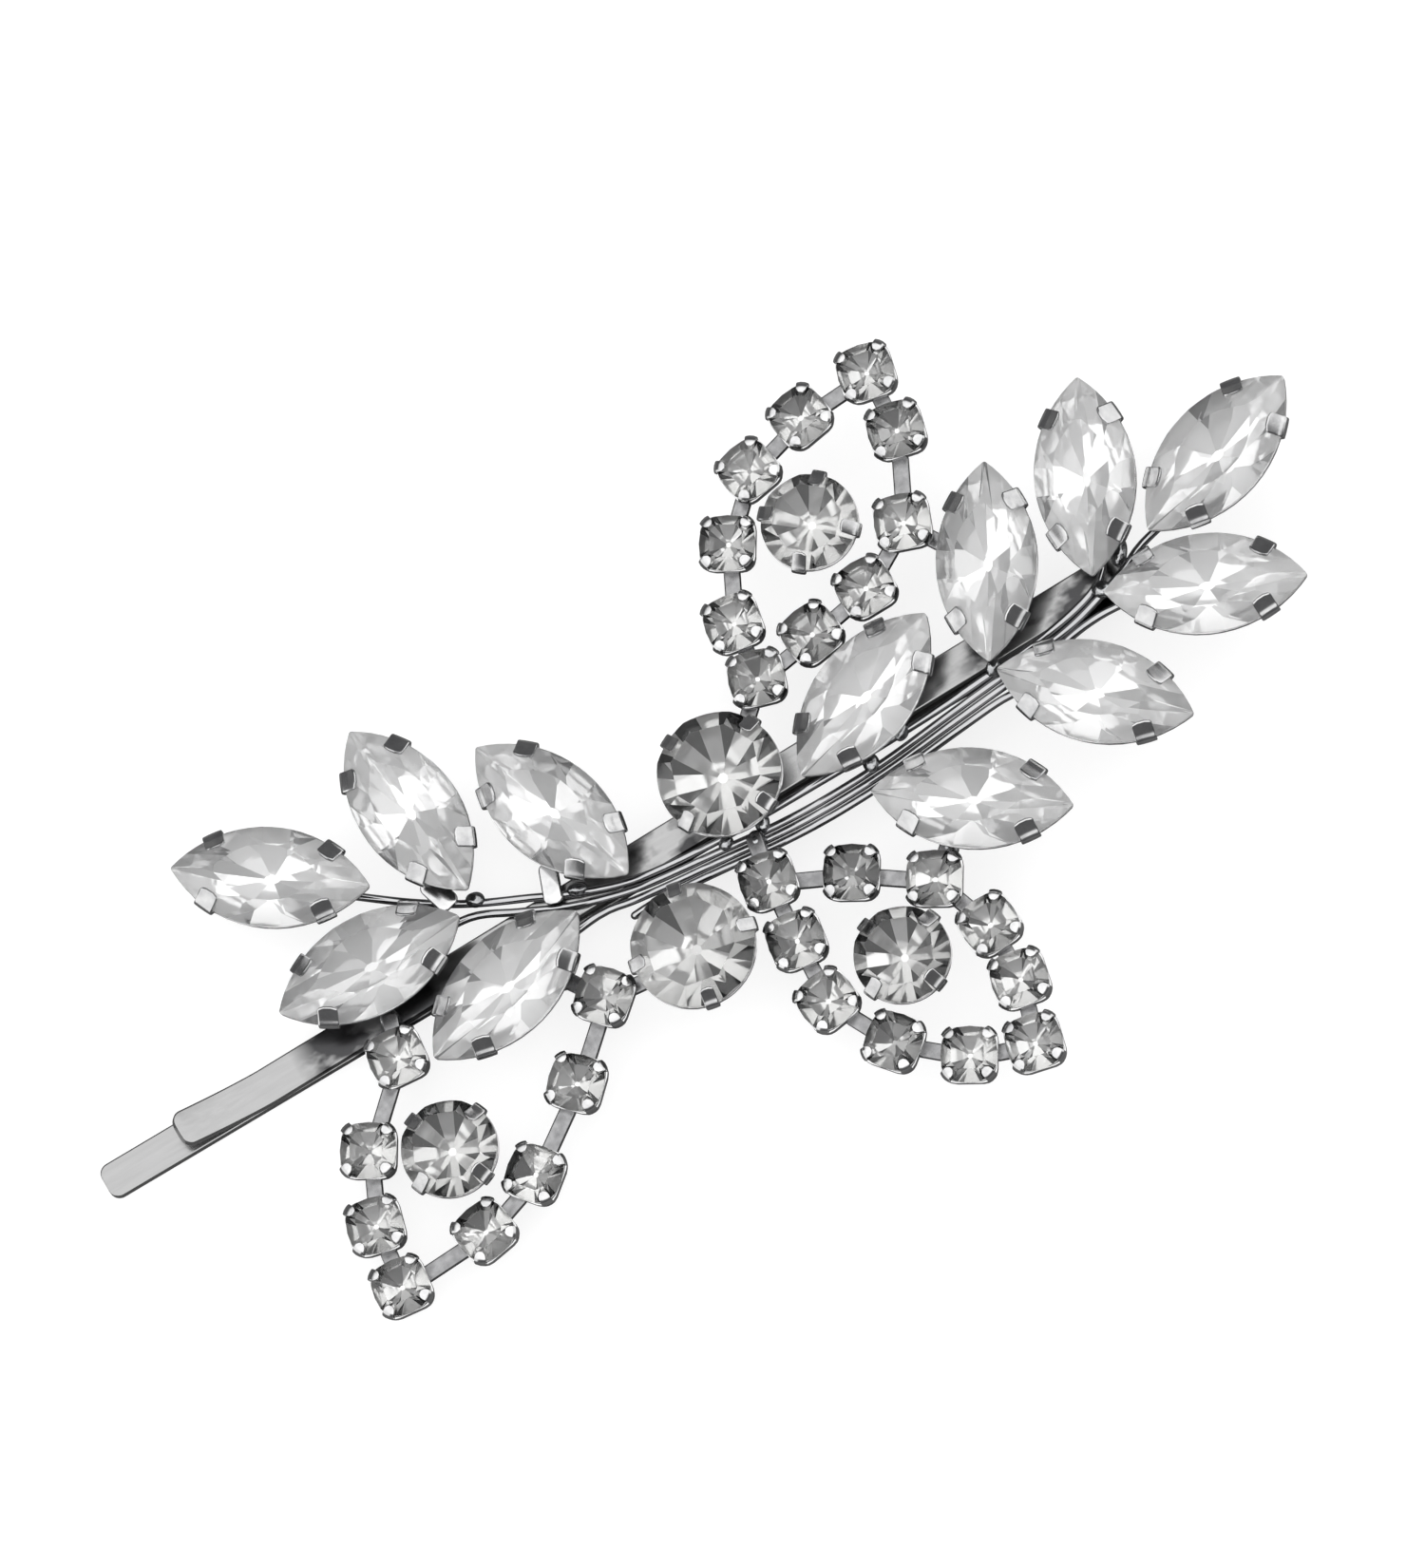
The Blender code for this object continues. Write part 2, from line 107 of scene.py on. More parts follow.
# How dark the foil is painted on main and on break facets, a painted reflection that stands in for the bright
# and dark parts of the room that each facet would mirror: the range of light ones, the range of dark ones, and
# the share that is dark
NAVETTE_PAINTED_REFLECTIONS = {
    "foil": "silver_lacquer", MAIN: ((0.0, 0.03), (0.2, 0.4), 0.35), BREAK: ((0.0, 0.05), (0.45, 0.7), 0.4),
}
ROUND_PAINTED_REFLECTIONS = {
    "foil": "silver_foil", MAIN: ((0.1, 0.35), (0.45, 0.6), 0.15), BREAK: ((0.2, 0.45), (0.92, 1.0), 0.7),
}
CUP_PAINTED_REFLECTIONS = {
    "foil": "silver_foil", MAIN: ((0.1, 0.3), (0.6, 0.9), 0.25), BREAK: ((0.1, 0.4), (0.9, 1.0), 0.6),
}

# Settings: how far the rim lies under the girdle and stands out beside the stone, the floor's share of the
# outline, the radius that a navette's sides bow with, and the share of the way in that sets a claw's slope
RIM_DROP = 0.1
RIM_BESIDE = 0.06
BASE_SHARE = 0.62
NAVETTE_BOW = 6.4
SLOPE_RUN = 0.45

# The grip: where the tines touch, and how far the upper tip stands up from there
CONTACT_X = -20.5
TIP_RISE = 1.2

# Cup chain: the level of the cups' backs in the spray, the sizes of a cup, and those of a link
CHAIN_BACK = -0.35
CUP_SIDE = 2.85
CUP_CORNER = 0.75
CUP_SHEET = 0.14
CUP_WALL = 1.6
LINK_LEVEL = 0.625
LINK_WIDTH = 0.85
LINK_THICKNESS = 0.35
# How far a link reaches in under the wall of its cup
LINK_LAP = 0.35

# The place of each cup in the plane of the spray, in order along the loop, and its turn in degrees
LOOPS = {
    "cup_chain_a": (
        (23.8, 15.1, -13), (23.6, 11.7, -14), (21.5, 7.4, -21), (18.2, 5.5, 0), (14.7, 4.9, 7),
        (11.2, 4.4, -18), (11.6, 7.5, -10), (13.4, 11.2, -31), (16.2, 13.9, 9), (19.8, 14.9, 9),
    ),
    "cup_chain_b": (
        (6.5, -4.9, -11), (6.2, -8.3, -9), (6.0, -11.8, 8), (7.8, -15.4, 39), (10.7, -18.0, -31),
        (13.8, -19.2, -14), (14.8, -16.0, -12), (14.9, -12.8, 3), (13.7, -9.3, -31), (10.3, -6.8, -31),
    ),
    "cup_chain_c": (
        (-3.5, -5.6, 41), (-6.9, -8.7, 44), (-11.0, -11.6, 39), (-14.6, -12.8, 9), (-19.6, -13.0, -7),
        (-19.2, -9.6, -15), (-17.6, -6.1, -31), (-14.0, -2.7, -6),
    ),
}
CLOSED_LOOPS = ("cup_chain_a", "cup_chain_b")
# Links that end on a setting: the cup they start from and the point they reach
TAILS = {
    "cup_chain_a": ((5, (9.1, 2.5)), (2, (22.9, 5.1))),
    "cup_chain_b": ((0, (7.0, -2.2)), (8, (15.2, -7.9))),
    "cup_chain_c": ((0, (-0.9, -5.9)), (0, (-4.8, -3.6)), (7, (-13.3, -0.3))),
}

# Stem wires in the plane of the spray, right to left
WIRES = {
    "stem_wire_1": (
        (29.5, 1.6), (28.8, 0.2), (28.0, -0.4), (26.6, -0.85), (24.4, -1.2), (21.2, -1.4), (18.3, -1.55),
        (14.5, -1.6), (10.9, -1.55), (8.0, -1.5), (5.2, -1.4), (2.3, -1.15), (0.0, -0.7), (-2.6, 0.3),
        (-4.2, 1.1), (-7.0, 2.5), (-9.6, 4.2), (-13.2, 7.1),
    ),
    "stem_wire_2": (
        (34.0, 0.9), (31.2, 0.3), (29.6, -0.4), (26.6, -1.32), (24.4, -1.66), (21.2, -1.87), (18.3, -2.1),
        (14.5, -2.42), (10.9, -2.48), (8.0, -2.3), (5.2, -1.95), (2.3, -1.62), (0.0, -1.2), (-2.8, -0.3),
        (-5.1, 0.8), (-7.4, 1.9), (-10.4, 2.0),
    ),
    "stem_wire_3": (
        (30.8, -2.2), (28.4, -1.8), (26.6, -1.8), (24.4, -2.12), (21.2, -2.33), (18.3, -2.56), (14.5, -2.88),
        (10.9, -2.94), (8.0, -2.76), (5.2, -2.41), (2.3, -2.1), (0.2, -1.8), (-1.8, -1.5), (-5.4, -1.9),
    ),
    "stem_wire_4": (
        (23.7, -3.9), (22.6, -3.1), (21.2, -2.84), (18.3, -3.02), (14.5, -3.34), (10.9, -3.4), (8.0, -3.22),
        (5.2, -2.87), (2.3, -2.56), (0.8, -2.45), (-0.4, -2.5),
    ),
}
TAB_NODES = ("navette_tab_07", "navette_tab_09", "navette_tab_10", "large_round_2_tab")

# Solder beads in the plane of the spray: x, y, level, half length, half width, half height, heading
BEADS = (
    (9.4, 2.6, 0.2, 0.75, 0.5, 0.4, 50),
    (22.9, 4.9, 0.2, 0.6, 0.45, 0.4, -60),
    (7.0, -2.6, 0.1, 0.6, 0.5, 0.35, 80),
    (15.1, -8.1, 0.1, 0.55, 0.45, 0.35, 60),
    (-1.0, -5.8, 0.1, 0.5, 0.45, 0.35, 0),
    (-4.9, -3.6, 0.1, 0.6, 0.45, 0.4, -20),
    (-13.4, -0.5, -0.1, 0.7, 0.5, 0.4, 85),
    (7.7, -1.9, -0.1, 0.5, 0.38, 0.32, 65),
    (5.6, -1.8, -0.1, 0.42, 0.36, 0.3, 20),
    (13.9, -2.1, -0.1, 0.6, 0.42, 0.34, 80),
    (16.0, -1.5, -0.1, 0.55, 0.4, 0.34, 55),
    (21.6, -1.2, -0.1, 0.5, 0.35, 0.3, 40),
    (28.3, -0.7, -0.1, 0.55, 0.45, 0.34, -40),
    (30.0, 0.5, 0.0, 0.8, 0.45, 0.4, 60),
    (31.0, -0.6, -0.05, 0.6, 0.4, 0.34, -20),
    (-2.0, 0.2, -0.1, 0.55, 0.36, 0.3, 160),
    (-6.7, 2.5, -0.1, 0.5, 0.4, 0.34, 150),
    (-9.3, 3.4, -0.1, 0.45, 0.36, 0.32, 120),
)

# Dark patches in the strip's colour: the middle of each along x, and half its length
STRIP_DARK_PATCHES = ((-14.2, 4.6), (25.0, 5.5), (3.5, 3.0))

# Range that a noise texture's values mostly keep to, and the scale of a pattern that isn't stretched
NOISE_LOW, NOISE_HIGH = 0.3, 0.7
EVEN = (1.0, 1.0, 1.0)

UP = np.array((0.0, 0.0, 1.0))

# Stage: the point that the camera looks at, its lens and sensor, and half the side of the floor
VIEW_MIDDLE = (6.53, 0.81, 4.0)
LENS = 375.0
SENSOR = 36.0
FLOOR_HALF = 1500.0
DIM_GREY, PANEL_GREY, WHITE = "#505051", "#E4E4E4", "#FFFFFF"


# ---------------------------------------------------------------- places in the frame


def find_joint(name):
    """A joint's record in the frame."""
    for joint in frame["record"]["behaviour"]["joints"]:
        if joint["name"] == name:
            return joint
    raise RuntimeError(f"the frame has no joint {name}")


def corners_of(node):
    """A solid's distinct corners in millimetres."""
    mesh = frame["nodes"][node].data
    found = np.empty(len(mesh.vertices) * 3)
    mesh.vertices.foreach_get("co", found)
    return np.unique(np.round(found.reshape(-1, 3) / MM, 4), axis=0)


def principal_axes(points):
    """The middle of a cloud of points and its directions of least to most spread, as rows."""
    middle = points.mean(axis=0)
    return middle, np.linalg.eigh(np.cov((points - middle).T))[1].T


def find_spray():
    """The plane that the settings' backs lie in: a point on it and its x, y and z directions as rows.

    Its z is the direction in which the first navette spreads least, and its lowest corner gives the level."""
    normal = principal_axes(corners_of("navette_stone_01"))[1][0]
    normal = normal * np.sign(normal[2])
    level = (corners_of("navette_setting_01") @ normal).min()
    along = np.array((normal[2], 0.0, -normal[0]))
    return np.array((0.0, 0.0, level / normal[2])), np.stack((along, np.cross(normal, along), normal))


SPRAY_ORIGIN, SPRAY_AXES = find_spray()


def to_spray(points):
    """Points of the row frame as x, y and height in the plane of the spray."""
    return (points - SPRAY_ORIGIN) @ SPRAY_AXES.T


def from_spray(points):
    """Points given as x, y and height in the plane of the spray, in the row frame."""
    return SPRAY_ORIGIN + points @ SPRAY_AXES


def turned(points, x, y, z, degrees):
    """Points turned about the vertical and then moved to (x, y, z)."""
    c, s = math.cos(math.radians(degrees)), math.sin(math.radians(degrees))
    return points @ np.array(((c, s, 0.0), (-s, c, 0.0), (0.0, 0.0, 1.0))) + (x, y, z)


def stone_place(node):
    """A stone's x, y and heading in the plane of the spray: its middle and the way it spreads most."""
    middle, axes = principal_axes(to_spray(corners_of(node)))
    return middle[0], middle[1], math.degrees(math.atan2(axes[2][1], axes[2][0]))


def claw_turn(node, x, y):
    """The turn of a round setting's claws: the fourfold mean of the directions of its highest corners."""
    local = to_spray(corners_of(node))
    high = local[local[:, 2] > local[:, 2].max() - 0.05]
    around = np.arctan2(high[:, 1] - y, high[:, 0] - x)
    return math.degrees(np.angle(np.exp(4j * around).sum()) / 4)


# ---------------------------------------------------------------- meshes


def outward(corners, faces):
    """The faces, turned round if the volume that they enclose comes out negative."""
    fans = np.array([(f[0], f[i], f[i + 1]) for f in faces for i in range(1, len(f) - 1)])
    a, b, c = (corners[fans[:, i]] for i in range(3))
    volume = np.einsum("ij,ij->i", a, np.cross(b, c)).sum()
    return faces if volume > 0 else [tuple(reversed(f)) for f in faces]


def make_piece(name, corners, faces, materials, smooth=35):
    """An object at the origin with its place in its mesh.  Edges sharper than smooth degrees stay sharp."""
    mesh = bpy.data.meshes.new(name)
    mesh.from_pydata((corners * MM).tolist(), [], faces)
    mesh.update()
    for material in materials:
        mesh.materials.append(bpy.data.materials[material])
    if smooth:
        mesh.shade_smooth()
        mesh.set_sharp_from_angle(angle=math.radians(smooth))
    piece = bpy.data.objects.new(name, mesh)
    bpy.context.scene.collection.objects.link(piece)
    return piece


def settle(piece, body, slot, *nodes):
    """The piece rides on a body and stands for the nodes, which it hides; slot is not used."""
    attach(piece, body)
    if nodes:
        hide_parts(*nodes)


def grid_faces(index):
    """Four-cornered faces of a grid of corner numbers, open on all sides."""
    quads = np.stack((index[:-1, :-1], index[:-1, 1:], index[1:, 1:], index[1:, :-1]), axis=-1)
    return quads.reshape(-1, 4).tolist()


def skin(rings):
    """Corners and faces over rings (rows, columns, xyz), closed around, with a fan to each end's middle."""
    rows, columns = rings.shape[:2]
    index = np.arange(rows * columns).reshape(rows, columns)
    index = np.hstack((index, index[:, :1]))
    count = rows * columns
    corners = np.vstack((rings.reshape(-1, 3), rings[0].mean(axis=0), rings[-1].mean(axis=0)))
    first = np.stack((index[0, 1:], index[0, :-1], np.full(columns, count)), axis=-1)
    last = np.stack((index[-1, :-1], index[-1, 1:], np.full(columns, count + 1)), axis=-1)
    faces = grid_faces(index) + first.tolist() + last.tolist()
    return corners, outward(corners, faces)


def directions(path):
    """Unit directions along a path of points, the mean of those before and after each point."""
    run = np.gradient(path, axis=0)
    return run / np.linalg.norm(run, axis=1, keepdims=True)


def travelled(path):
    """Distance along a path to each of its points."""
    return np.concatenate(([0.0], np.cumsum(np.linalg.norm(np.diff(path, axis=0), axis=1))))


def rounded_box(half_width, half_height, rounding, steps=4):
    """Sections (rows, columns, 2): quarter circles about the corners of a box whose width changes by row."""
    turn = np.radians(np.concatenate([q * 90 + np.linspace(0, 90, steps + 1) for q in range(4)]))
    half_width = np.asarray(half_width, float)[:, None]
    half_height = np.broadcast_to(np.asarray(half_height, float).reshape(-1, 1), half_width.shape)
    rounding = np.minimum(rounding, np.minimum(half_width, half_height))
    quarter = np.repeat(np.array(((1, 1), (-1, 1), (-1, -1), (1, -1))), steps + 1, axis=0)
    across = (half_width - rounding) * quarter[:, 0] + rounding * np.cos(turn)
    up = (half_height - rounding) * quarter[:, 1] + rounding * np.sin(turn)
    return np.stack((across, up), axis=-1)


def sweep(path, up, sections):
    """Rings of a section carried along a path: across is the path's direction crossed with up."""
    along = directions(path)
    across = np.cross(up, along)
    across /= np.linalg.norm(across, axis=1, keepdims=True)
    upward = np.cross(along, across)
    return path[:, None] + sections[..., :1] * across[:, None] + sections[..., 1:] * upward[:, None]


def smooth_path(points, spacing):
    """Points about one spacing apart on the Catmull-Rom curve through the given ones."""
    given = np.asarray(points, float)
    padded = np.vstack((2 * given[0] - given[1], given, 2 * given[-1] - given[-2]))
    stretches = []
    for p0, p1, p2, p3 in zip(padded, padded[1:], padded[2:], padded[3:]):
        steps = max(2, round(np.linalg.norm(p2 - p1) / spacing))
        t = np.linspace(0, 1, steps, endpoint=False)[:, None]
        stretches.append(
            0.5 * (2 * p1 + (p2 - p0) * t + (2 * p0 - 5 * p1 + 4 * p2 - p3) * t**2
                   + (3 * p1 - p0 - 3 * p2 + p3) * t**3)
        )
    return np.vstack(stretches + [given[-1:]])


def end_rounding(far, total, radius, ends=(True, True)):
    """Share of the full width at each distance along a bar: a quarter circle at each rounded end."""
    inside = np.full(len(far), float(radius))
    if ends[0]:
        inside = np.minimum(inside, far)
    if ends[1]:
        inside = np.minimum(inside, total - far)
    return np.sqrt(np.clip(1 - (1 - inside / radius) ** 2, 0, 1))


def crowded(run, near, steps):
    """Distances along a run: close together within near of either end, and in even steps between."""
    edge = near * (1 - np.cos(np.linspace(0.12, math.pi / 2, 6)))
    middle = np.linspace(near, run - near, steps + 2)[1:-1]
    return np.concatenate((edge, middle, run - edge[::-1]))


def flat_bar(name, start, end, half_width, half_height, corner, near, steps, material):
    """A straight bar in the spray: narrower by corner at its ends, and of full width from near inwards."""
    run = np.linalg.norm(end - start)
    stations = crowded(run, near, steps)
    path = start + stations[:, None] * (end - start) / run
    widths = half_width - corner * (1 - end_rounding(stations, run, near))
    corners, faces = skin(sweep(path, np.broadcast_to(UP, path.shape), rounded_box(widths, half_height, 0.1)))
    return make_piece(name, from_spray(corners), faces, [material], 50)


# ---------------------------------------------------------------- outlines and stones


def round_outline(radius):
    """A circle: the point at each direction lies one radius along it."""
    return lambda phi: radius * np.stack((np.cos(phi), np.sin(phi)), axis=-1)


def navette_outline(half_length, half_width):
    """Two circular arcs that meet at the tips, moved out by the tip's radius.

    The point whose outward direction is phi lies on an arc, or at the tip where the direction points past the
    arcs' ends."""
    length, width = half_length - TIP_RADIUS, half_width - TIP_RADIUS
    arc = (length**2 + width**2) / (2 * width)

    def at(phi):
        cos, sin = np.cos(phi), np.sin(phi)
        x = np.clip(arc * cos, -length, length)
        y = np.sign(sin) * np.maximum(0.0, arc * np.abs(sin) - (arc - width))
        return np.stack((x + TIP_RADIUS * cos, y + TIP_RADIUS * sin), axis=-1)

    return at


def cup_outline(half_side, corner):
    """A square with rounded corners: the corner's centre, and one corner radius along phi."""
    inner = half_side - corner

    def at(phi):
        cos, sin = np.cos(phi), np.sin(phi)
        return np.stack((inner * np.sign(cos) + corner * cos, inner * np.sign(sin) + corner * sin), axis=-1)

    return at


def reach(outline, phi):
    """Distance from the middle to the tangent whose outward direction is phi."""
    phi = np.asarray(phi, float)
    return (outline(phi) * np.stack((np.cos(phi), np.sin(phi)), axis=-1)).sum(axis=-1)


def facet_planes(phi, s0, z0, s1, z1):
    """Planes through two level lines: at distance s0 and height z0, and at s1 and z1, both across phi."""
    s0, s1 = np.broadcast_to(s0, phi.shape), np.broadcast_to(s1, phi.shape)
    out, up = np.full(phi.shape, float(z1 - z0)), s0 - s1
    length = np.hypot(out, up) * np.sign(out)
    out, up = out / length, up / length
    return np.stack((out * np.cos(phi), out * np.sin(phi), up, out * s0 + up * z0), axis=-1)


def corner_reach(outline, before, after):
    """Reach, towards the middle direction, of the corner where the tangents at two directions meet."""
    half = (after - before) / 2
    mean = (reach(outline, before) + reach(outline, after)) / 2
    return mean / np.cos(half)


def stone_planes(outline, mains, sizes, girdle, table, breaks):
    """All facets of a stone with the underside of its girdle at height 0, and the kind of each.

    Main facets run from the girdle to the table, which is that share of the outline, and to the culet.
    Between two of them a break facet leaves the girdle more steeply, and a star facet cuts the table's
    corner.  breaks gives the shares of the crown for upper breaks and stars, and of the depth for lower
    breaks."""
    crown, depth, band_height = sizes["crown"], sizes["pavilion"], sizes["girdle"]
    top = band_height + crown
    upright = np.stack((np.cos(girdle), np.sin(girdle), 0 * girdle, reach(outline, girdle)), axis=-1)
    out = reach(outline, mains)
    groups = [
        (CROWN, np.array(((0.0, 0.0, 1.0, top),))),
        (CROWN, upright),
        (CROWN, facet_planes(mains, out, band_height, table * out, top)),
        (MAIN, np.array(((0.0, 0.0, -1.0, depth),))),
        (MAIN, facet_planes(mains, out, 0.0, CULET * out, -depth)),
    ]
    if breaks:
        following = np.roll(mains, -1)
        following[-1] += 2 * math.pi
        between = (mains + following) / 2
        near = reach(outline, between)
        far = corner_reach(outline, mains, following)
        taper = 1 - table
        up, star, down = breaks
        high, low = (1 - taper * up) * far, (1 - taper * star) * far
        deep = (1 - (1 - CULET) * down) * far
        groups.append((BREAK, facet_planes(between, near, 0.0, deep, -down * depth)))
        if up:
            groups += [
                (CROWN, facet_planes(between, near, band_height, high, band_height + up * crown)),
                (CROWN, facet_planes(between, low, band_height + star * crown, 0.94 * table * far, top)),
            ]
    kinds = np.concatenate([[kind] * len(rows) for kind, rows in groups])
    return np.vstack([rows for _, rows in groups]), kinds


def cut_solid(planes, kinds):
    """Corners, faces and the faces' kinds of the solid inside planes given as rows (x, y, z, distance).

    Every three planes meet at a point, points outside any plane are dropped, and the corners of a face are
    put in order by their angle about its middle.  Points within a cell of each other are one corner."""
    count = np.arange(len(planes))
    i, j, k = (a.ravel() for a in np.meshgrid(count, count, count, indexing="ij"))
    picked = (i < j) & (j < k)
    triples = np.stack((i[picked], j[picked], k[picked]), axis=-1)
    normals = planes[triples, :3]
    crossing = np.abs(np.linalg.det(normals)) > 1e-6
    triples, normals = triples[crossing], normals[crossing]
    points = np.linalg.solve(normals, planes[triples, 3][..., None])[..., 0]
    points = points[(points @ planes[:, :3].T <= planes[:, 3] + 1e-6).all(axis=1)]
    cell = 0.000137
    corners = np.unique(np.round(points / cell), axis=0) * cell
    faces, kept = [], []
    for kind, normal, distance in zip(kinds, planes[:, :3], planes[:, 3]):
        on = np.flatnonzero(np.abs(corners @ normal - distance) < 5 * cell)
        if len(on) < 3:
            continue
        spread = corners[on] - corners[on].mean(axis=0)
        side = np.cross(normal, (0.0, 0.0, 1.0) if abs(normal[2]) < 0.9 else (1.0, 0.0, 0.0))
        angle = np.arctan2(spread @ np.cross(normal, side), spread @ side)
        faces.append(on[np.argsort(angle)].tolist())
        kept.append(kind)
    return corners, faces, np.array(kept)


def angles(*degrees):
    """Directions given in degrees, as an array in radians."""
    return np.radians(np.array(degrees, float))


def navette_stone():
    """A navette's outline and solid: ten main facets meet at the culet and crowd towards the tips."""
    outline = navette_outline(NAVETTE["half_length"], NAVETTE["half_width"])
    side = np.array((41, 63, 90, 117, 139))
    mains = np.radians(np.concatenate((side, side + 180)))
    arc = np.linspace(40, 140, 21)
    tip = np.array((-30, -15, 0, 15, 30))
    girdle = np.radians(np.concatenate((arc, arc + 180, tip, tip + 180)))
    return outline, cut_solid(*stone_planes(outline, mains, NAVETTE, girdle, 0.55, (0.5, 0.78, 0.6)))


def round_stone(outline, sizes, table=0.68, breaks=(0, 0, 0.8), sides=48):
    """Eight main facets above and below, with breaks between them."""
    mains = np.radians(np.arange(8) * 45.0)
    girdle = np.radians((np.arange(sides) + 0.5) * 360.0 / sides)
    return cut_solid(*stone_planes(outline, mains, sizes, girdle, table, breaks))


def add_stone(name, solid, place, level, painted_reflections, seed, node):
    """A stone in two materials: clear glass, and foil on the facets below the girdle.

    The foil's colour is painted facet by facet as a painted reflection: for main and break facets the fifth
    argument gives the ranges of light and of dark ones, and the share of dark."""
    corners, faces, kinds = solid
    world = from_spray(turned(corners + (0, 0, level), *place))
    piece = make_piece(name, world, faces, ["cut_crystal_glass", painted_reflections["foil"]], smooth=0)
    mesh = piece.data
    mesh.polygons.foreach_set("material_index", (kinds != CROWN).astype(np.int32))
    chance = np.random.default_rng(seed)
    # Painted reflection: each foil facet gets a light or dark value that stands in for what it would mirror
    tone = np.zeros(len(kinds))
    for kind in (MAIN, BREAK):
        light, dark, dark_share = painted_reflections[kind]
        pick = chance.random(len(kinds)) < dark_share
        drawn = np.where(pick, chance.uniform(*dark, len(kinds)), chance.uniform(*light, len(kinds)))
        tone = np.where(kinds == kind, drawn, tone)
    attribute = mesh.attributes.new("tone", "FLOAT", "FACE")
    attribute.data.foreach_set("value", tone.astype(np.float32))
    mesh.update()
    settle(piece, UPPER, CRYSTAL_SLOT, node)


# ---------------------------------------------------------------- settings


def claw_columns(claws, half_angle, others):
    """Directions round an outline: six across each claw, and the others that lie between the claws."""
    across = np.array((-1.0, -0.82, -0.35, 0.35, 0.82, 1.0)) * half_angle
    inside = np.concatenate([claw + across for claw in claws])
    gap = np.abs((others[:, None] - np.array(claws) + math.pi) % (2 * math.pi) - math.pi).min(axis=1)
    kept = others[gap > 1.25 * half_angle]
    return np.unique(np.round(np.concatenate((inside, kept)) % (2 * math.pi), 6))


def pressed_sheet(outline, phi, wall, claws, half_angle, claw_path, blunt):
    """Corners and faces of the middle surface of a pressed cup.

    Row by row, a corner is the outline's point times a share, plus an offset along its outward direction, at
    a height.  Above the rim only the claws' columns go on, along a smooth path of (share, offset, height)
    with the offset along the claw's middle direction, less far at a claw's sides than in its middle."""
    point = outline(phi)
    out = np.stack((np.cos(phi), np.sin(phi)), axis=-1)
    share, offset, height = (np.asarray(c, float)[:, None, None] for c in zip(*wall))
    flat = share * point + offset * out
    corners = [np.concatenate((flat, np.broadcast_to(height, flat.shape[:2] + (1,))), axis=-1).reshape(-1, 3)]
    rows, columns = len(wall), len(phi)
    index = np.arange(rows * columns).reshape(rows, columns)
    faces = grid_faces(np.hstack((index, index[:, :1])))
    route = smooth_path(claw_path, 0.05)
    far = travelled(route)
    steps = np.linspace(0, 1, 15)[1:]
    count = rows * columns
    for claw in claws:
        gap = (phi - claw + math.pi) % (2 * math.pi) - math.pi
        chosen = np.flatnonzero(np.abs(gap) < half_angle * 1.01)
        chosen = chosen[np.argsort(gap[chosen])]
        across = gap[chosen] / half_angle
        way = far[-1] * steps[:, None] * (1 - blunt * np.abs(across) ** 4)
        share, offset, height = (np.interp(way, far, route[:, i])[..., None] for i in range(3))
        flat = share * point[chosen] + offset * np.array((math.cos(claw), math.sin(claw)))
        corners.append(np.concatenate((flat, height), axis=-1).reshape(-1, 3))
        above = count + np.arange(len(steps) * len(chosen)).reshape(len(steps), len(chosen))
        faces += grid_faces(np.vstack((index[-1, chosen], above)))
        count += above.size
    return np.vstack(corners), faces


def thicken(piece, thickness, rounding):
    """Gives a middle surface its wall and rounds its edges, and keeps the result as the mesh."""
    wall = piece.modifiers.new("wall", "SOLIDIFY")
    wall.thickness = thickness * MM
    wall.offset = 0
    wall.use_even_offset = True
    edge = piece.modifiers.new("edge", "BEVEL")
    edge.width = rounding * MM
    edge.segments = 2
    edge.limit_method = "ANGLE"
    edge.angle_limit = math.radians(50)
    bpy.context.view_layer.update()
    graph = bpy.context.evaluated_depsgraph_get()
    mesh = bpy.data.meshes.new_from_object(piece.evaluated_get(graph))
    piece.modifiers.clear()
    old = piece.data
    piece.data = mesh
    bpy.data.meshes.remove(old)
    mesh.name = piece.name
    mesh.shade_smooth()
    mesh.set_sharp_from_angle(angle=math.radians(40))


def setting_shape(outline, sizes, half_width, claws, half_angle, columns, slope, metal):
    """The middle surface of a claw setting: floor with a hole, bulging wall, and claws bent over the crown.

    The wall ends just under the girdle, and its rim shows as a thin line round the stone."""
    half_sheet = metal.sheet / MM / 2
    level = metal.cad_sheet / MM + metal.floor_clear / MM + sizes["pavilion"]
    rim = level - RIM_DROP
    full = 1 + (RIM_BESIDE - half_sheet) / half_width
    rise = np.array((0.0, 0.05, 0.14, 0.3, 0.5, 0.75, 1.0))
    wall = [(share, 0.0, half_sheet) for share in (0.3, 0.45, 0.56)]
    shares, heights = BASE_SHARE + (full - BASE_SHARE) * rise**0.85, half_sheet + (rim - half_sheet) * rise
    wall += [(share, 0.0, height) for share, height in zip(shares, heights)]
    beside = metal.stone_gap / MM + half_sheet + metal.claw_flare / MM
    tip = metal.claw_reach / MM
    lift = (half_sheet + 0.02) * math.hypot(1, slope)
    crown_foot = level + sizes["girdle"]
    path = (
        (full, 0.0, rim),
        (1.0, beside * 0.7, level - 0.04),
        (1.0, beside, level + 0.5 * sizes["girdle"]),
        (1.0, beside * 0.7, crown_foot + 0.7 * lift),
        (1.0, -0.25 * tip, crown_foot + 0.25 * tip * slope + lift),
        (1.0, -tip, crown_foot + tip * slope + lift),
    )
    phi = claw_columns(claws, half_angle, columns)
    return pressed_sheet(outline, phi, wall, claws, half_angle, path, 0.13), level


def add_setting(name, shape, place, sheet, rounding, node):
    """A setting or cup from its middle surface, put in its place in the spray and given its wall."""
    corners, faces = shape
    piece = make_piece(name, from_spray(turned(corners, *place)), faces, ["rhodium_plated_brass"])
    thicken(piece, sheet, rounding)
    settle(piece, UPPER, METAL_SLOT, node)


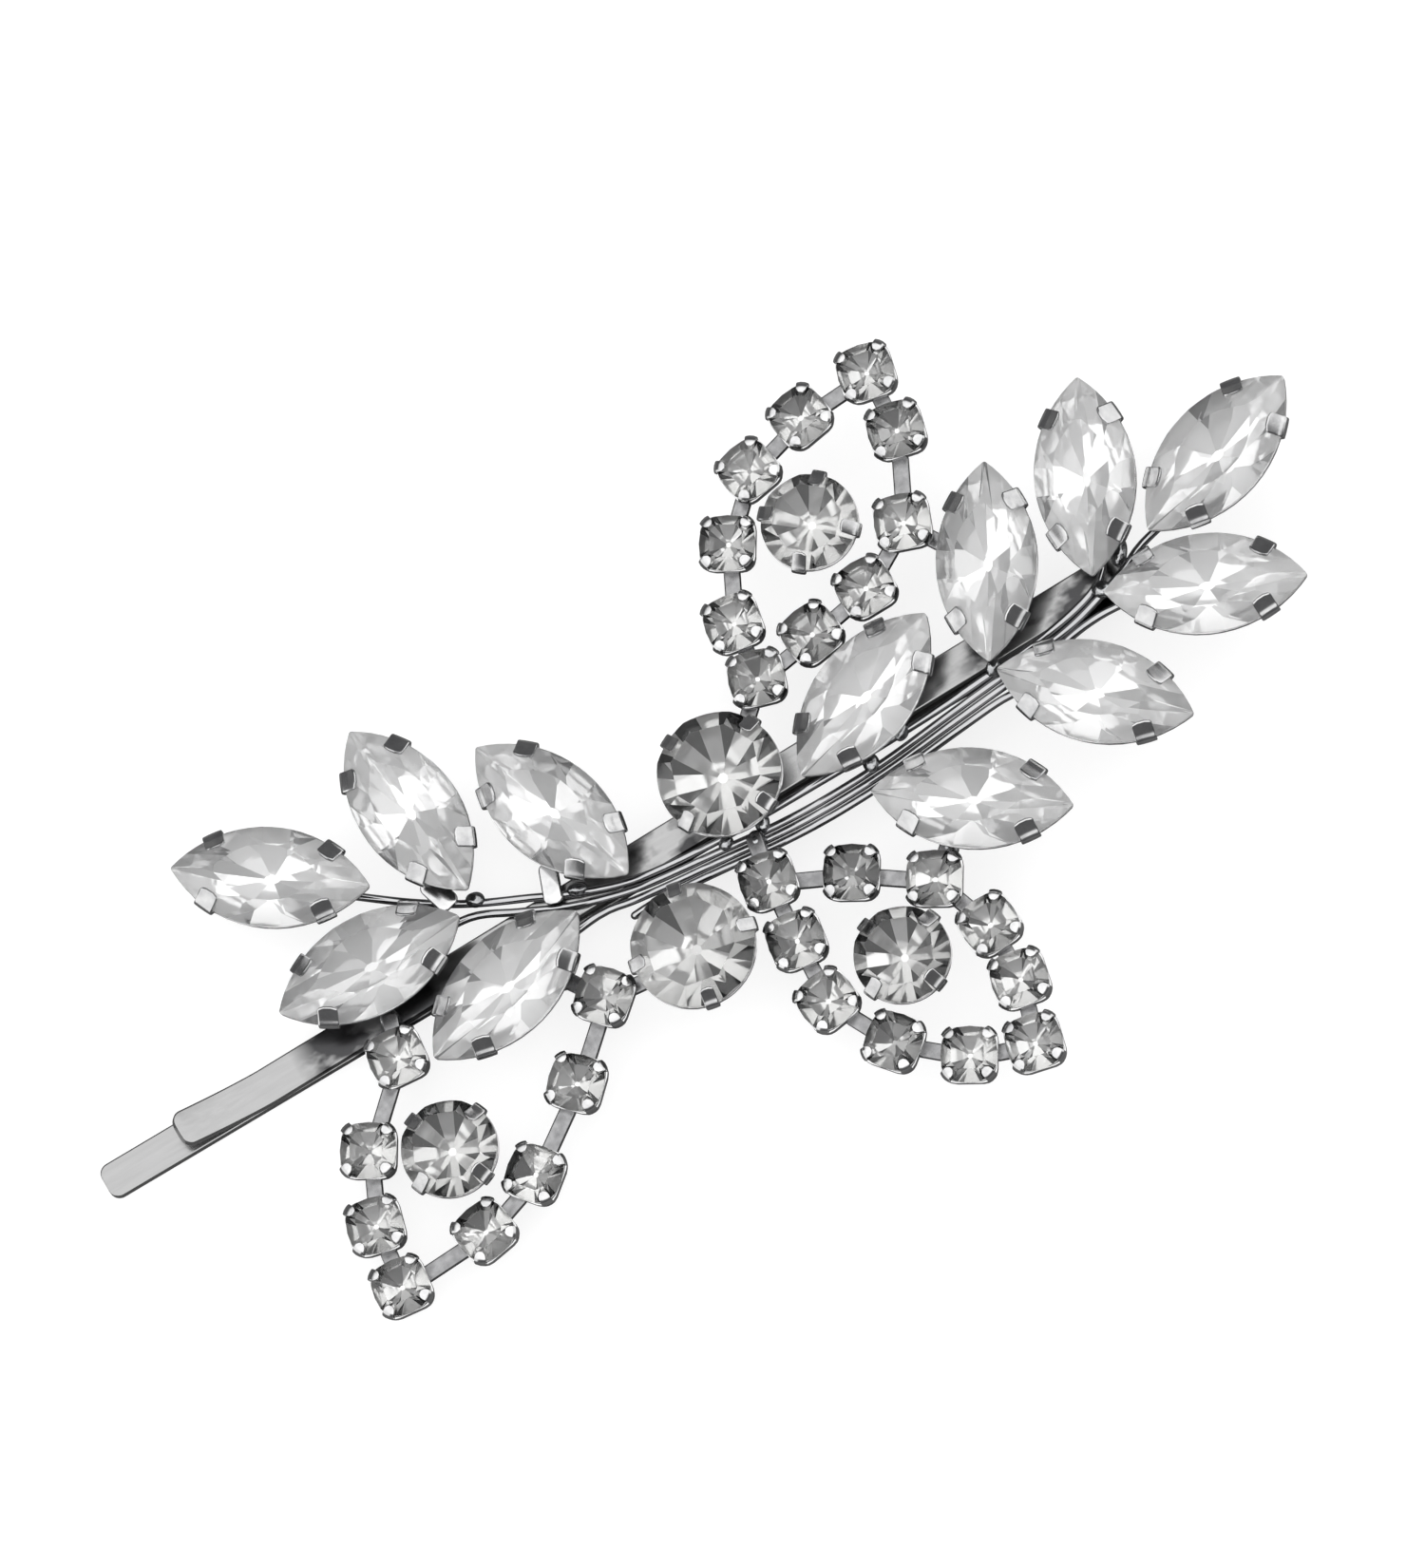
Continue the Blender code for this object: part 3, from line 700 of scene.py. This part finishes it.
def cup_shape():
    """The middle surface of a chain cup: a square floor with a hole, a flaring wall and four corner claws."""
    half_sheet = CUP_SHEET / 2
    outline = cup_outline(CUP_SIDE / 2 - half_sheet, CUP_CORNER - half_sheet)
    claws, half_angle = angles(45, 135, 225, 315), math.radians(24)
    edges = np.concatenate([np.array((-0.4, 0.4)) + q for q in (0, 90, 180, 270)])
    phi = claw_columns(claws, half_angle, np.radians(edges) % (2 * math.pi))
    rim = CUP_WALL - CUP_STONE["girdle"] - 0.08
    floor = [(share, 0.0, half_sheet) for share in (0.25, 0.5, 0.7)]
    side = ((0.78, half_sheet + 0.04), (0.86, 0.3), (0.95, 0.7), (1.0, 1.1), (1.0, rim))
    wall = floor + [(share, 0.0, height) for share, height in side]
    path = (
        (1.0, 0.0, rim), (1.0, 0.06, CUP_WALL - 0.05), (1.0, 0.03, CUP_WALL + 0.15),
        (1.0, -0.12, CUP_WALL + 0.3), (1.0, -0.5, CUP_WALL + 0.4),
    )
    return pressed_sheet(outline, phi, wall, claws, half_angle, path, 0.35)


# ---------------------------------------------------------------- materials


def linear(hex_colour, alpha=1.0):
    """An sRGB hex colour as linear red, green, blue and alpha."""
    parts = np.array([int(hex_colour[i : i + 2], 16) for i in (1, 3, 5)]) / 255
    curve = np.where(parts <= 0.04045, parts / 12.92, ((parts + 0.055) / 1.055) ** 2.4)
    return (*curve.tolist(), alpha)


def fill(tree, node, inputs):
    """Links each input that is given as another node's output, and sets any other to its value."""
    for socket, value in inputs.items():
        if isinstance(value, bpy.types.NodeSocket):
            tree.links.new(value, node.inputs[socket])
        else:
            node.inputs[socket].default_value = value
    return node


def add_node(tree, kind, inputs, **settings):
    """Adds one node with its settings and its inputs."""
    node = tree.nodes.new(kind)
    for name, value in settings.items():
        setattr(node, name, value)
    return fill(tree, node, inputs)


def new_material(name):
    """The node tree and the Principled shader of a new material."""
    material = bpy.data.materials.new(name)
    material.use_nodes = True
    tree = material.node_tree
    return tree, tree.nodes["Principled BSDF"]


def object_noise(tree, scale, size_mm, detail=2.0):
    """Noise on Object coordinates whose blobs are about size_mm across, stretched by scale."""
    place = add_node(tree, "ShaderNodeTexCoord", {})
    spread = add_node(tree, "ShaderNodeMapping", {"Vector": place.outputs["Object"], "Scale": scale})
    vector, per_metre = spread.outputs["Vector"], 1 / (size_mm * MM)
    return add_node(
        tree, "ShaderNodeTexNoise", {"Vector": vector, "Scale": per_metre, "Detail": detail}
    ).outputs["Fac"]


def spread_noise(noise, low=0.0, high=1.0):
    """Inputs of a Map Range node that spread a noise over low to high."""
    return {"Value": noise, "From Min": NOISE_LOW, "From Max": NOISE_HIGH, "To Min": low, "To Max": high}


def metal_material(name, dark, light, rough, grain, bump_mm, size_mm):
    """A plated metal: colour and roughness drift a little, and a shallow bump follows how it was worked."""
    tree, shader = new_material(name)
    noise = object_noise(tree, grain, size_mm, 3.0)
    drift = add_node(tree, "ShaderNodeMapRange", spread_noise(noise))
    colour = add_node(
        tree, "ShaderNodeMix", {"Factor": drift.outputs["Result"], 6: linear(dark), 7: linear(light)},
        data_type="RGBA",
    ).outputs[2]
    wear = add_node(tree, "ShaderNodeMapRange", spread_noise(noise, rough[1], rough[0]))
    bump = add_node(tree, "ShaderNodeBump", {"Strength": 0.5, "Distance": bump_mm * MM, "Height": noise})
    fill(tree, shader, {
        "Metallic": 1.0, "Base Color": colour, "Roughness": wear.outputs["Result"],
        "Normal": bump.outputs["Normal"],
    })
    return tree, shader, colour


def darken_strip_patches(tree, shader, colour):
    """Dark blotches in the strip's colour.

    Each stain is full up to 0.7 of its half length from its middle and fades to nothing at its end.  The mask
    is the greatest of them, times a noise that breaks it up."""
    place = add_node(tree, "ShaderNodeTexCoord", {})
    split = add_node(tree, "ShaderNodeSeparateXYZ", {"Vector": place.outputs["Object"]})
    mask = 0.0
    for middle, half in STRIP_DARK_PATCHES:
        ends = {0: split.outputs["X"], 1: middle * MM}
        offset = add_node(tree, "ShaderNodeMath", ends, operation="SUBTRACT")
        away = add_node(tree, "ShaderNodeMath", {0: offset.outputs[0]}, operation="ABSOLUTE")
        fade = add_node(tree, "ShaderNodeMapRange", {
            "Value": away.outputs[0], "From Min": 0.7 * half * MM, "From Max": half * MM,
            "To Min": 1.0, "To Max": 0.0,
        })
        widest = add_node(tree, "ShaderNodeMath", {0: fade.outputs["Result"], 1: mask}, operation="MAXIMUM")
        mask = widest.outputs[0]
    blotch = object_noise(tree, (0.6, 1.0, 1.0), 1.3, 3.0)
    spots = add_node(tree, "ShaderNodeMapRange", {"Value": blotch, "From Min": 0.4, "From Max": 0.55})
    patch_darkening = add_node(tree, "ShaderNodeMath", {0: mask, 1: spots.outputs["Result"]}, operation="MULTIPLY")
    darkened_colour = add_node(
        tree, "ShaderNodeMix", {"Factor": patch_darkening.outputs[0], 6: colour, 7: linear("#3C3C3D")}, data_type="RGBA"
    )
    fill(tree, shader, {"Base Color": darkened_colour.outputs[2]})


def foil_material(name, mirror, light, dark, rough):
    """A coat that is part mirror and part pale lacquer, with a painted reflection in its colour: each facet is
    painted light or dark by its face attribute.
    """
    tree, shader = new_material(name)
    # Painted reflection: the facet's painted value darkens the foil's colour
    tone = add_node(tree, "ShaderNodeAttribute", {}, attribute_name="tone")
    colour = add_node(
        tree, "ShaderNodeMix", {"Factor": tone.outputs["Fac"], 6: linear(light), 7: linear(dark)},
        data_type="RGBA",
    )
    ripple = object_noise(tree, EVEN, 0.9)
    wear = add_node(tree, "ShaderNodeMapRange", spread_noise(ripple, rough[1], rough[0]))
    fill(tree, shader, {
        "Metallic": mirror, "Base Color": colour.outputs[2], "Roughness": wear.outputs["Result"],
    })


def crystal_material():
    """Clear glass with a high refractive index, polished but for faint smears."""
    tree, shader = new_material("cut_crystal_glass")
    smear = object_noise(tree, EVEN, 1.2)
    wear = add_node(
        tree, "ShaderNodeMapRange", {"Value": smear, "From Min": 0.5, "From Max": 0.8, "To Max": 0.03}
    )
    fill(tree, shader, {
        "Base Color": linear("#FDFDFD"), "Transmission Weight": 1.0, "IOR": 1.55,
        "Roughness": wear.outputs["Result"],
    })


def make_materials():
    """Every finish of the clip."""
    # Spring steel strip, cold rolled and nickel plated: a soft light grey with faint lines along the strip.
    # In three places along the strip its colour is darkened in blotches.
    darken_strip_patches(*metal_material(
        "nickel_plated_spring_steel", "#8E8E8E", "#939393", (0.2, 0.25), (0.08, 1.0, 1.0), 0.001, 0.25
    ))
    # Brass, pressed or drawn, polished and rhodium plated: a bright mirror, a little wavy
    metal_material("rhodium_plated_brass", "#A4A4A5", "#C0C0C0", (0.1, 0.18), EVEN, 0.01, 0.8)
    # The chain's links are cut from rolled brass strip and plated without polishing: a flat, quiet grey
    metal_material("rolled_brass_strip", "#6E6E6F", "#888889", (0.22, 0.3), EVEN, 0.004, 0.5)
    # Drawn brass wire, rhodium plated: smooth and hard, so it shows one bright line between dark flanks
    metal_material("drawn_brass_wire", "#98989A", "#A2A2A3", (0.08, 0.12), EVEN, 0.001, 1.5)
    # Tin solder, flowed on and left as it froze: duller and lumpy
    metal_material("tin_solder", "#747577", "#A8A9AA", (0.12, 0.25), EVEN, 0.16, 0.5)
    # Lead crystal, pressed and fire polished: clear, with a faint smear of wear that softens a few glints
    crystal_material()
    # Silver mirror foil behind the round stones: it mirrors the room, and on top of that each facet's colour is
    # painted light or dark, a painted reflection of the room's bright and dark parts
    foil_material("silver_foil", 0.7, "#F4F4F3", "#1C1D1E", (0.06, 0.12))
    # Silver lacquer behind the navettes: a softer mirror, so their facets read as broad pale panes; some facets
    # are painted darker, a painted reflection
    foil_material("silver_lacquer", 0.45, "#FEFEFE", "#3A3B3D", (0.05, 0.1))


# ---------------------------------------------------------------- settings that a user would change


def length(label, text, default):
    """A size in metres that a user can change."""
    return bpy.props.FloatProperty(
        name=label, description=text, default=default, min=0.0, unit="LENGTH", precision=5
    )


class HAIRCLIP_PG_grip(bpy.types.PropertyGroup):
    """Sizes of the sprung strip."""

    edge_rounding: length("Edge Rounding", "Radius along the strip's edges", 0.12 * MM)
    tip_rounding: length("Tip Rounding", "Radius of the tips' corners in plan", 0.55 * MM)
    bend_steps: bpy.props.IntProperty(name="Bend Steps", description="Rows round the bend", default=40, min=8)


class HAIRCLIP_PG_metalwork(bpy.types.PropertyGroup):
    """Sizes of settings, claws, wires and links."""

    sheet: length("Sheet", "Thickness of the settings' walls and claws", 0.17 * MM)
    cad_sheet: length("Floor", "Thickness of the settings' floors", 0.25 * MM)
    stone_gap: length("Stone Gap", "Gap between a stone and its setting", 0.02 * MM)
    floor_clear: length("Floor Gap", "Gap between a stone's point and the floor of its setting", 0.1 * MM)
    claw_width: length("Claw Width", "Width of a claw across", 1.05 * MM)
    claw_reach: length("Claw Reach", "How far a claw reaches over the crown", 0.72 * MM)
    claw_flare: length("Claw Flare", "How far a claw stands out before it bends in", 0.06 * MM)
    wire: length("Wire", "Diameter of the stem wires", 0.42 * MM)


class HAIRCLIP_PG_studio(bpy.types.PropertyGroup):
    """Floor, light and camera."""

    floor: bpy.props.FloatVectorProperty(
        name="Floor", description="Colour of the floor", default=linear("#F4F4F4"), size=4, min=0, max=1,
        subtype="COLOR",
    )
    glow: bpy.props.FloatProperty(
        name="Glow", description="How much the floor glows towards the camera", default=0.9, min=0, max=1,
        subtype="FACTOR",
    )
    sky: bpy.props.FloatProperty(
        name="Sky", description="Strength of the surrounding light", default=2.1, min=0
    )
    elevation: bpy.props.FloatProperty(
        name="Elevation", description="Height of the camera above the floor's plane, as an angle",
        default=math.radians(74), subtype="ANGLE",
    )
    roll: bpy.props.FloatProperty(
        name="Roll", description="Turn of the camera about its line of sight", default=math.radians(30.7),
        subtype="ANGLE",
    )
    distance: length("Distance", "From the camera to the middle of the view", 0.8175)


# ---------------------------------------------------------------- operators


class HAIRCLIP_OT_grip(bpy.types.Operator):
    """Make the strip: lower tine, bend and upper tine"""

    bl_idname = "hair_clip.grip"
    bl_label = "Grip"

    def execute(self, context):
        grip = context.scene.hair_clip_grip
        edge, tip = grip.edge_rounding / MM, grip.tip_rounding / MM
        low, high = (np.array(c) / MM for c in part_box("lower_tine"))
        half_width, half_height = (high[1] - low[1]) / 2, (high[2] - low[2]) / 2
        centre_x, _, centre_z = np.array(find_joint("tine_flex")["pos_m"]) / MM
        radius = centre_z - half_height
        slope = -SPRAY_AXES[2][0] / SPRAY_AXES[2][2]

        def strip(name, x, z, crosswise, rounded, body, node):
            """A rounded oblong section carried along x and z; crosswise is the section's upward direction."""
            path = np.stack((x, 0 * x, z), axis=-1)
            far = travelled(path)
            widths = half_width - tip * (1 - end_rounding(far, far[-1], tip, rounded))
            upward = np.stack((crosswise[0], 0 * x, crosswise[1]), axis=-1)
            corners, faces = skin(sweep(path, upward, rounded_box(widths, half_height, edge)))
            piece = make_piece(name, corners, faces, ["nickel_plated_spring_steel"], 50)
            if body:
                settle(piece, body, STEEL_SLOT, node)
            return piece

        near = tip * (1 - np.cos(np.linspace(0.15, math.pi / 2, 9)))
        x = np.concatenate((low[0] + near, np.linspace(low[0] + tip, centre_x, 30)[1:]))
        line = np.full(len(x), half_height)
        strip("grip_lower", x, line, (0 * x, 0 * x + 1), (True, False), LOWER, "lower_tine")

        # The upper tine slopes straight down from the bend to the contact, and its tip curves up from there
        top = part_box("upper_tine")[0][0] / MM
        tip_part = np.linspace(top + tip, CONTACT_X, 14)[1:]
        straight = np.linspace(CONTACT_X, centre_x, 30)[1:]
        x = np.concatenate((top + near, tip_part, straight))
        line = centre_z + radius + slope * (x - centre_x)
        rise = np.clip((CONTACT_X - x) / (CONTACT_X - top), 0, 1)
        flat = line[-1] + slope * (CONTACT_X - centre_x)
        line = np.where(x < CONTACT_X, flat + TIP_RISE * rise**1.5, line)
        strip("grip_upper", x, line, (0 * x, 0 * x + 1), (True, False), UPPER, "upper_tine")

        turn = np.linspace(-math.pi / 2, math.pi / 2 + math.atan(slope), grip.bend_steps)
        x, z = centre_x + radius * np.cos(turn), centre_z + radius * np.sin(turn)
        bend = strip("grip_bend", x, z, (-np.cos(turn), -np.sin(turn)), (False, False), None, None)
        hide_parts("spring_bend")
        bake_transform(bend)
        return {"FINISHED"}


class HAIRCLIP_OT_stem_wires(bpy.types.Operator):
    """Make the four wires of the stem"""

    bl_idname = "hair_clip.stem_wires"
    bl_label = "Stem Wires"

    def execute(self, context):
        radius = context.scene.hair_clip_metalwork.wire / MM / 2
        level = to_spray(corners_of("stem_wire_1"))[:, 2].mean()
        around = np.linspace(0, 2 * math.pi, 20, endpoint=False)
        circle = np.stack((np.cos(around), np.sin(around)), axis=-1)
        for name, points in WIRES.items():
            path = smooth_path([(x, y, level) for x, y in points], 0.45)
            far = travelled(path)
            total = far[-1]
            near = radius * (1 - np.cos(np.linspace(0.2, math.pi / 2, 5)))
            middle = far[(far > radius * 1.2) & (far < total - radius * 1.2)]
            stations = np.concatenate((near, middle, total - near[::-1]))
            path = np.stack([np.interp(stations, far, path[:, i]) for i in range(3)], axis=-1)
            sizes = radius * end_rounding(stations, total, radius)
            rings = sweep(path, np.broadcast_to(UP, path.shape), sizes[:, None, None] * circle)
            corners, faces = skin(rings)
            piece = make_piece(f"bright_{name}", from_spray(corners), faces, ["drawn_brass_wire"])
            settle(piece, UPPER, METAL_SLOT, name)
        return {"FINISHED"}


class HAIRCLIP_OT_tabs(bpy.types.Operator):
    """Make the flat tabs that join settings to the stem"""

    bl_idname = "hair_clip.tabs"
    bl_label = "Tabs"

    def execute(self, context):
        for node in TAB_NODES:
            local = to_spray(corners_of(node))
            middle, axes = principal_axes(local)
            half_height, half_width, half_length = np.ptp((local - middle) @ axes.T, axis=0) / 2
            start, end = middle - half_length * axes[2], middle + half_length * axes[2]
            piece = flat_bar(
                f"bright_{node}", start, end, half_width, half_height, 0.3, 0.35, 10, "rhodium_plated_brass"
            )
            settle(piece, UPPER, METAL_SLOT, node)
        return {"FINISHED"}


class HAIRCLIP_OT_navettes(bpy.types.Operator):
    """Make the twelve navettes and their settings"""

    bl_idname = "hair_clip.navettes"
    bl_label = "Navettes"

    def execute(self, context):
        metal = context.scene.hair_clip_metalwork
        outline, solid = navette_stone()
        claws = angles(61, 119, 241, 299)
        half_angle = metal.claw_width / MM / 2 / NAVETTE_BOW
        arc, tip = np.arange(42, 139, 6.0), np.arange(-36, 37, 12.0)
        columns = np.radians(np.concatenate((arc, arc + 180, tip, tip + 180))) % (2 * math.pi)
        slope = NAVETTE["crown"] / (SLOPE_RUN * float(reach(outline, claws[0])))
        half_width = NAVETTE["half_width"]
        shape, level = setting_shape(outline, NAVETTE, half_width, claws, half_angle, columns, slope, metal)
        for number in range(1, 13):
            stone, setting = f"navette_stone_{number:02d}", f"navette_setting_{number:02d}"
            x, y, heading = stone_place(stone)
            place = (x, y, 0.0, heading)
            add_stone(f"navette_{number:02d}", solid, place, level, NAVETTE_PAINTED_REFLECTIONS, number, stone)
            add_setting(f"claw_{setting}", shape, place, metal.sheet / MM, 0.05, setting)
        return {"FINISHED"}


class HAIRCLIP_OT_rounds(bpy.types.Operator):
    """Make the five round stones and their settings"""

    bl_idname = "hair_clip.rounds"
    bl_label = "Round Stones"

    def execute(self, context):
        metal = context.scene.hair_clip_metalwork
        claws = angles(0, 90, 180, 270)
        columns = np.radians(np.arange(0, 360, 7.5))
        for seed, (name, sizes) in enumerate(ROUND_NODES.items(), 20):
            stone, setting = f"{name}_stone", f"{name}_setting"
            radius = sizes["radius"]
            outline = round_outline(radius)
            solid = round_stone(outline, sizes)
            half_angle = 0.68 * metal.claw_width / MM / 2 / radius
            slope = sizes["crown"] / (SLOPE_RUN * radius)
            shape, level = setting_shape(outline, sizes, radius, claws, half_angle, columns, slope, metal)
            x, y, _ = stone_place(stone)
            back = to_spray(corners_of(setting))[:, 2].min()
            place = (x, y, back, claw_turn(setting, x, y))
            add_stone(name, solid, place, level, ROUND_PAINTED_REFLECTIONS, seed, stone)
            add_setting(f"claw_{setting}", shape, place, metal.sheet / MM, 0.05, setting)
        return {"FINISHED"}


class HAIRCLIP_OT_cup_chain(bpy.types.Operator):
    """Make the three loops of cup chain: cups, stones, links and tails"""

    bl_idname = "hair_clip.cup_chain"
    bl_label = "Cup Chain"

    def execute(self, context):
        shape = cup_shape()
        cushion = cup_outline(CUP_STONE["half_side"], CUP_STONE["corner"])
        solid = round_stone(cushion, CUP_STONE, 0.6, (0, 0, 0.8), 24)
        level = CUP_WALL - CUP_STONE["girdle"]
        seed = 40
        for loop, cups in LOOPS.items():
            for number, (x, y, turn) in enumerate(cups, 1):
                seed += 1
                place = (x, y, CHAIN_BACK, turn)
                add_setting(f"{loop}_cup_{number:02d}", shape, place, CUP_SHEET, 0.04, loop)
                add_stone(f"{loop}_stone_{number:02d}", solid, place, level, CUP_PAINTED_REFLECTIONS, seed, loop)
            self.link_up(loop, np.array(cups)[:, :2])
        return {"FINISHED"}

    def link_up(self, loop, places):
        """A link from each cup to the next, from just inside one wall to just inside the other, and tails."""
        inset = CUP_SIDE / 2 - LINK_LAP
        following = np.roll(places, -1, axis=0) if loop in CLOSED_LOOPS else places[1:]
        for number, (start, end) in enumerate(zip(places, following), 1):
            along = (end - start) / np.linalg.norm(end - start)
            self.strap(f"{loop}_link_{number:02d}", loop, start + along * inset, end - along * inset)
        for number, (cup, tip) in enumerate(TAILS[loop], 1):
            start, end = places[cup], np.array(tip)
            along = (end - start) / np.linalg.norm(end - start)
            self.strap(f"{loop}_tail_{number}", loop, start + along * inset, end)

    def strap(self, name, loop, start, end):
        """A flat link between two points in the plane of the spray."""
        start, end = (np.append(point, LINK_LEVEL + CHAIN_BACK) for point in (start, end))
        near = min(0.3, np.linalg.norm(end - start) / 3)
        sizes = (LINK_WIDTH / 2, LINK_THICKNESS / 2, 0.2, near, 6)
        settle(flat_bar(name, start, end, *sizes, "rolled_brass_strip"), UPPER, METAL_SLOT, loop)


class HAIRCLIP_OT_solder(bpy.types.Operator):
    """Make the beads of solder"""

    bl_idname = "hair_clip.solder"
    bl_label = "Solder"

    def execute(self, context):
        # An ellipsoid of half sizes a, b and c, with three and five shallow waves round its long axis
        polar = np.linspace(0.12, math.pi - 0.12, 12)[:, None]
        around = np.linspace(0, 2 * math.pi, 24, endpoint=False)[None]
        for number, (x, y, z, a, b, c, heading) in enumerate(BEADS, 1):
            waves = 0.07 * np.sin(3 * around + number) * np.sin(polar)
            lump = 1 + waves + 0.05 * np.cos(5 * around + 2 * polar + number)
            girth = np.sin(polar) * lump
            ball = (a * np.cos(polar) + 0 * around, b * girth * np.cos(around), c * girth * np.sin(around))
            corners, faces = skin(np.stack(ball, axis=-1))
            place = from_spray(turned(corners, x, y, z, heading))
            settle(make_piece(f"solder_{number}", place, faces, ["tin_solder"]), UPPER, METAL_SLOT)
        return {"FINISHED"}


class HAIRCLIP_OT_studio(bpy.types.Operator):
    """Set the floor, the light and the camera"""

    bl_idname = "hair_clip.studio"
    bl_label = "Studio"

    def execute(self, context):
        studio = context.scene.hair_clip_studio
        scene = context.scene
        scene.view_settings.view_transform = "Standard"
        self.floor(studio)
        self.sky(scene, studio)
        self.camera(scene, studio)
        return {"FINISHED"}

    def floor(self, studio):
        """A wide flat sheet just under the lower tine, of matt white paper with a faint tooth.

        It glows a little, as paper on a light table does, which leaves only a faint shadow."""
        tree, shader = new_material("matt_white_paper")
        grain = object_noise(tree, EVEN, 2.0)
        wear = add_node(tree, "ShaderNodeMapRange", spread_noise(grain, 0.85, 0.95))
        seen = add_node(tree, "ShaderNodeLightPath", {}).outputs["Is Camera Ray"]
        colour = add_node(
            tree, "ShaderNodeMix", {"Factor": seen, 6: linear("#6A6A6A"), 7: linear("#808080")},
            data_type="RGBA",
        )
        glow = add_node(tree, "ShaderNodeMapRange", {"Value": seen, "To Max": studio.glow})
        fill(tree, shader, {
            "Base Color": colour.outputs[2], "Roughness": wear.outputs["Result"],
            "Emission Color": studio.floor, "Emission Strength": glow.outputs["Result"],
        })
        level = CAD_BOX[0].z / MM - 0.02
        signs = np.array(((-1, -1), (1, -1), (1, 1), (-1, 1)))
        corners = np.column_stack((FLOOR_HALF * signs, np.full(4, level)))
        make_piece("studio_floor", corners, [(0, 1, 2, 3)], ["matt_white_paper"], 0)

    def sky(self, scene, studio):
        """A dome that is white overhead and dim at the horizon, with a pale panel at each end of the grip.

        The panels stand where the cosine of twice the heading is high.  The camera itself sees white."""
        world = bpy.data.worlds.new("studio_dome")
        world.use_nodes = True
        scene.world = world
        tree = world.node_tree
        place = add_node(tree, "ShaderNodeTexCoord", {})
        x, y, z = add_node(tree, "ShaderNodeSeparateXYZ", {"Vector": place.outputs["Generated"]}).outputs
        around = add_node(tree, "ShaderNodeMath", {0: y, 1: x}, operation="ARCTAN2")
        twice = add_node(tree, "ShaderNodeMath", {0: around.outputs[0], 1: 2.0}, operation="MULTIPLY")
        wave = add_node(tree, "ShaderNodeMath", {0: twice.outputs[0]}, operation="COSINE")
        seen = add_node(tree, "ShaderNodeLightPath", {}).outputs["Is Camera Ray"]
        # Each layer goes from its first colour to its second, where None stands for the layers before it
        layers = (
            (wave.outputs[0], 0.35, 0.55, linear(DIM_GREY), linear(PANEL_GREY)),
            (z, 0.0, 0.12, linear(DIM_GREY), None),
            (z, 0.58, 0.74, None, linear(WHITE)),
            (seen, 0.0, 1.0, None, linear(WHITE)),
        )
        colour = None
        for value, start, end, first, second in layers:
            span = {"Value": value, "From Min": start, "From Max": end}
            factor = add_node(tree, "ShaderNodeMapRange", span).outputs["Result"]
            inputs = {"Factor": factor, 6: first or colour, 7: second or colour}
            colour = add_node(tree, "ShaderNodeMix", inputs, data_type="RGBA").outputs[2]
        fill(tree, tree.nodes["Background"], {"Color": colour, "Strength": studio.sky})

    def camera(self, scene, studio):
        """A long lens that looks down from the spray's lower side, rolled so that the grip runs uphill."""
        data = bpy.data.cameras.new("camera")
        data.lens = LENS
        data.sensor_width = SENSOR
        data.clip_start, data.clip_end = 0.01, 10.0
        camera = bpy.data.objects.new("camera", data)
        back = np.array((0.0, -math.cos(studio.elevation), math.sin(studio.elevation)))
        level_up = np.array((0.0, math.sin(studio.elevation), math.cos(studio.elevation)))
        across = np.array((1.0, 0.0, 0.0))
        c, s = math.cos(studio.roll), math.sin(studio.roll)
        right, up = c * across - s * level_up, s * across + c * level_up
        place = np.array(VIEW_MIDDLE) * MM + back * studio.distance
        matrix = np.eye(4)
        matrix[:3] = np.column_stack((right, up, back, place))
        camera.matrix_world = matrix.T.tolist()
        scene.collection.objects.link(camera)
        scene.camera = camera


class HAIRCLIP_PT_panel(bpy.types.Panel):
    """Lists the parts of the hair clip"""

    bl_idname = "HAIRCLIP_PT_panel"
    bl_label = "Hair Clip"
    bl_space_type = "VIEW_3D"
    bl_region_type = "UI"
    bl_category = "Hair Clip"

    def draw(self, context):
        for operator in OPERATORS:
            self.layout.operator(operator.bl_idname)
        for name in GROUPS:
            box = self.layout.box()
            group = getattr(context.scene, name)
            for prop in group.bl_rna.properties:
                if prop.identifier not in ("name", "rna_type"):
                    box.prop(group, prop.identifier)


OPERATORS = (
    HAIRCLIP_OT_grip, HAIRCLIP_OT_stem_wires, HAIRCLIP_OT_tabs, HAIRCLIP_OT_navettes, HAIRCLIP_OT_rounds,
    HAIRCLIP_OT_cup_chain, HAIRCLIP_OT_solder, HAIRCLIP_OT_studio,
)
GROUPS = {
    "hair_clip_grip": HAIRCLIP_PG_grip,
    "hair_clip_metalwork": HAIRCLIP_PG_metalwork,
    "hair_clip_studio": HAIRCLIP_PG_studio,
}


def register():
    for cls in (*GROUPS.values(), *OPERATORS, HAIRCLIP_PT_panel):
        bpy.utils.register_class(cls)
    for name, cls in GROUPS.items():
        setattr(bpy.types.Scene, name, bpy.props.PointerProperty(type=cls))


def unregister():
    for name in GROUPS:
        delattr(bpy.types.Scene, name)
    for cls in (HAIRCLIP_PT_panel, *OPERATORS, *GROUPS.values()):
        bpy.utils.unregister_class(cls)


def main():
    """Builds every piece in order."""
    register()
    make_materials()
    bpy.ops.hair_clip.grip()
    bpy.ops.hair_clip.stem_wires()
    bpy.ops.hair_clip.tabs()
    bpy.ops.hair_clip.navettes()
    bpy.ops.hair_clip.rounds()
    bpy.ops.hair_clip.cup_chain()
    bpy.ops.hair_clip.solder()
    bpy.ops.hair_clip.studio()


if __name__ == "__main__":
    main()
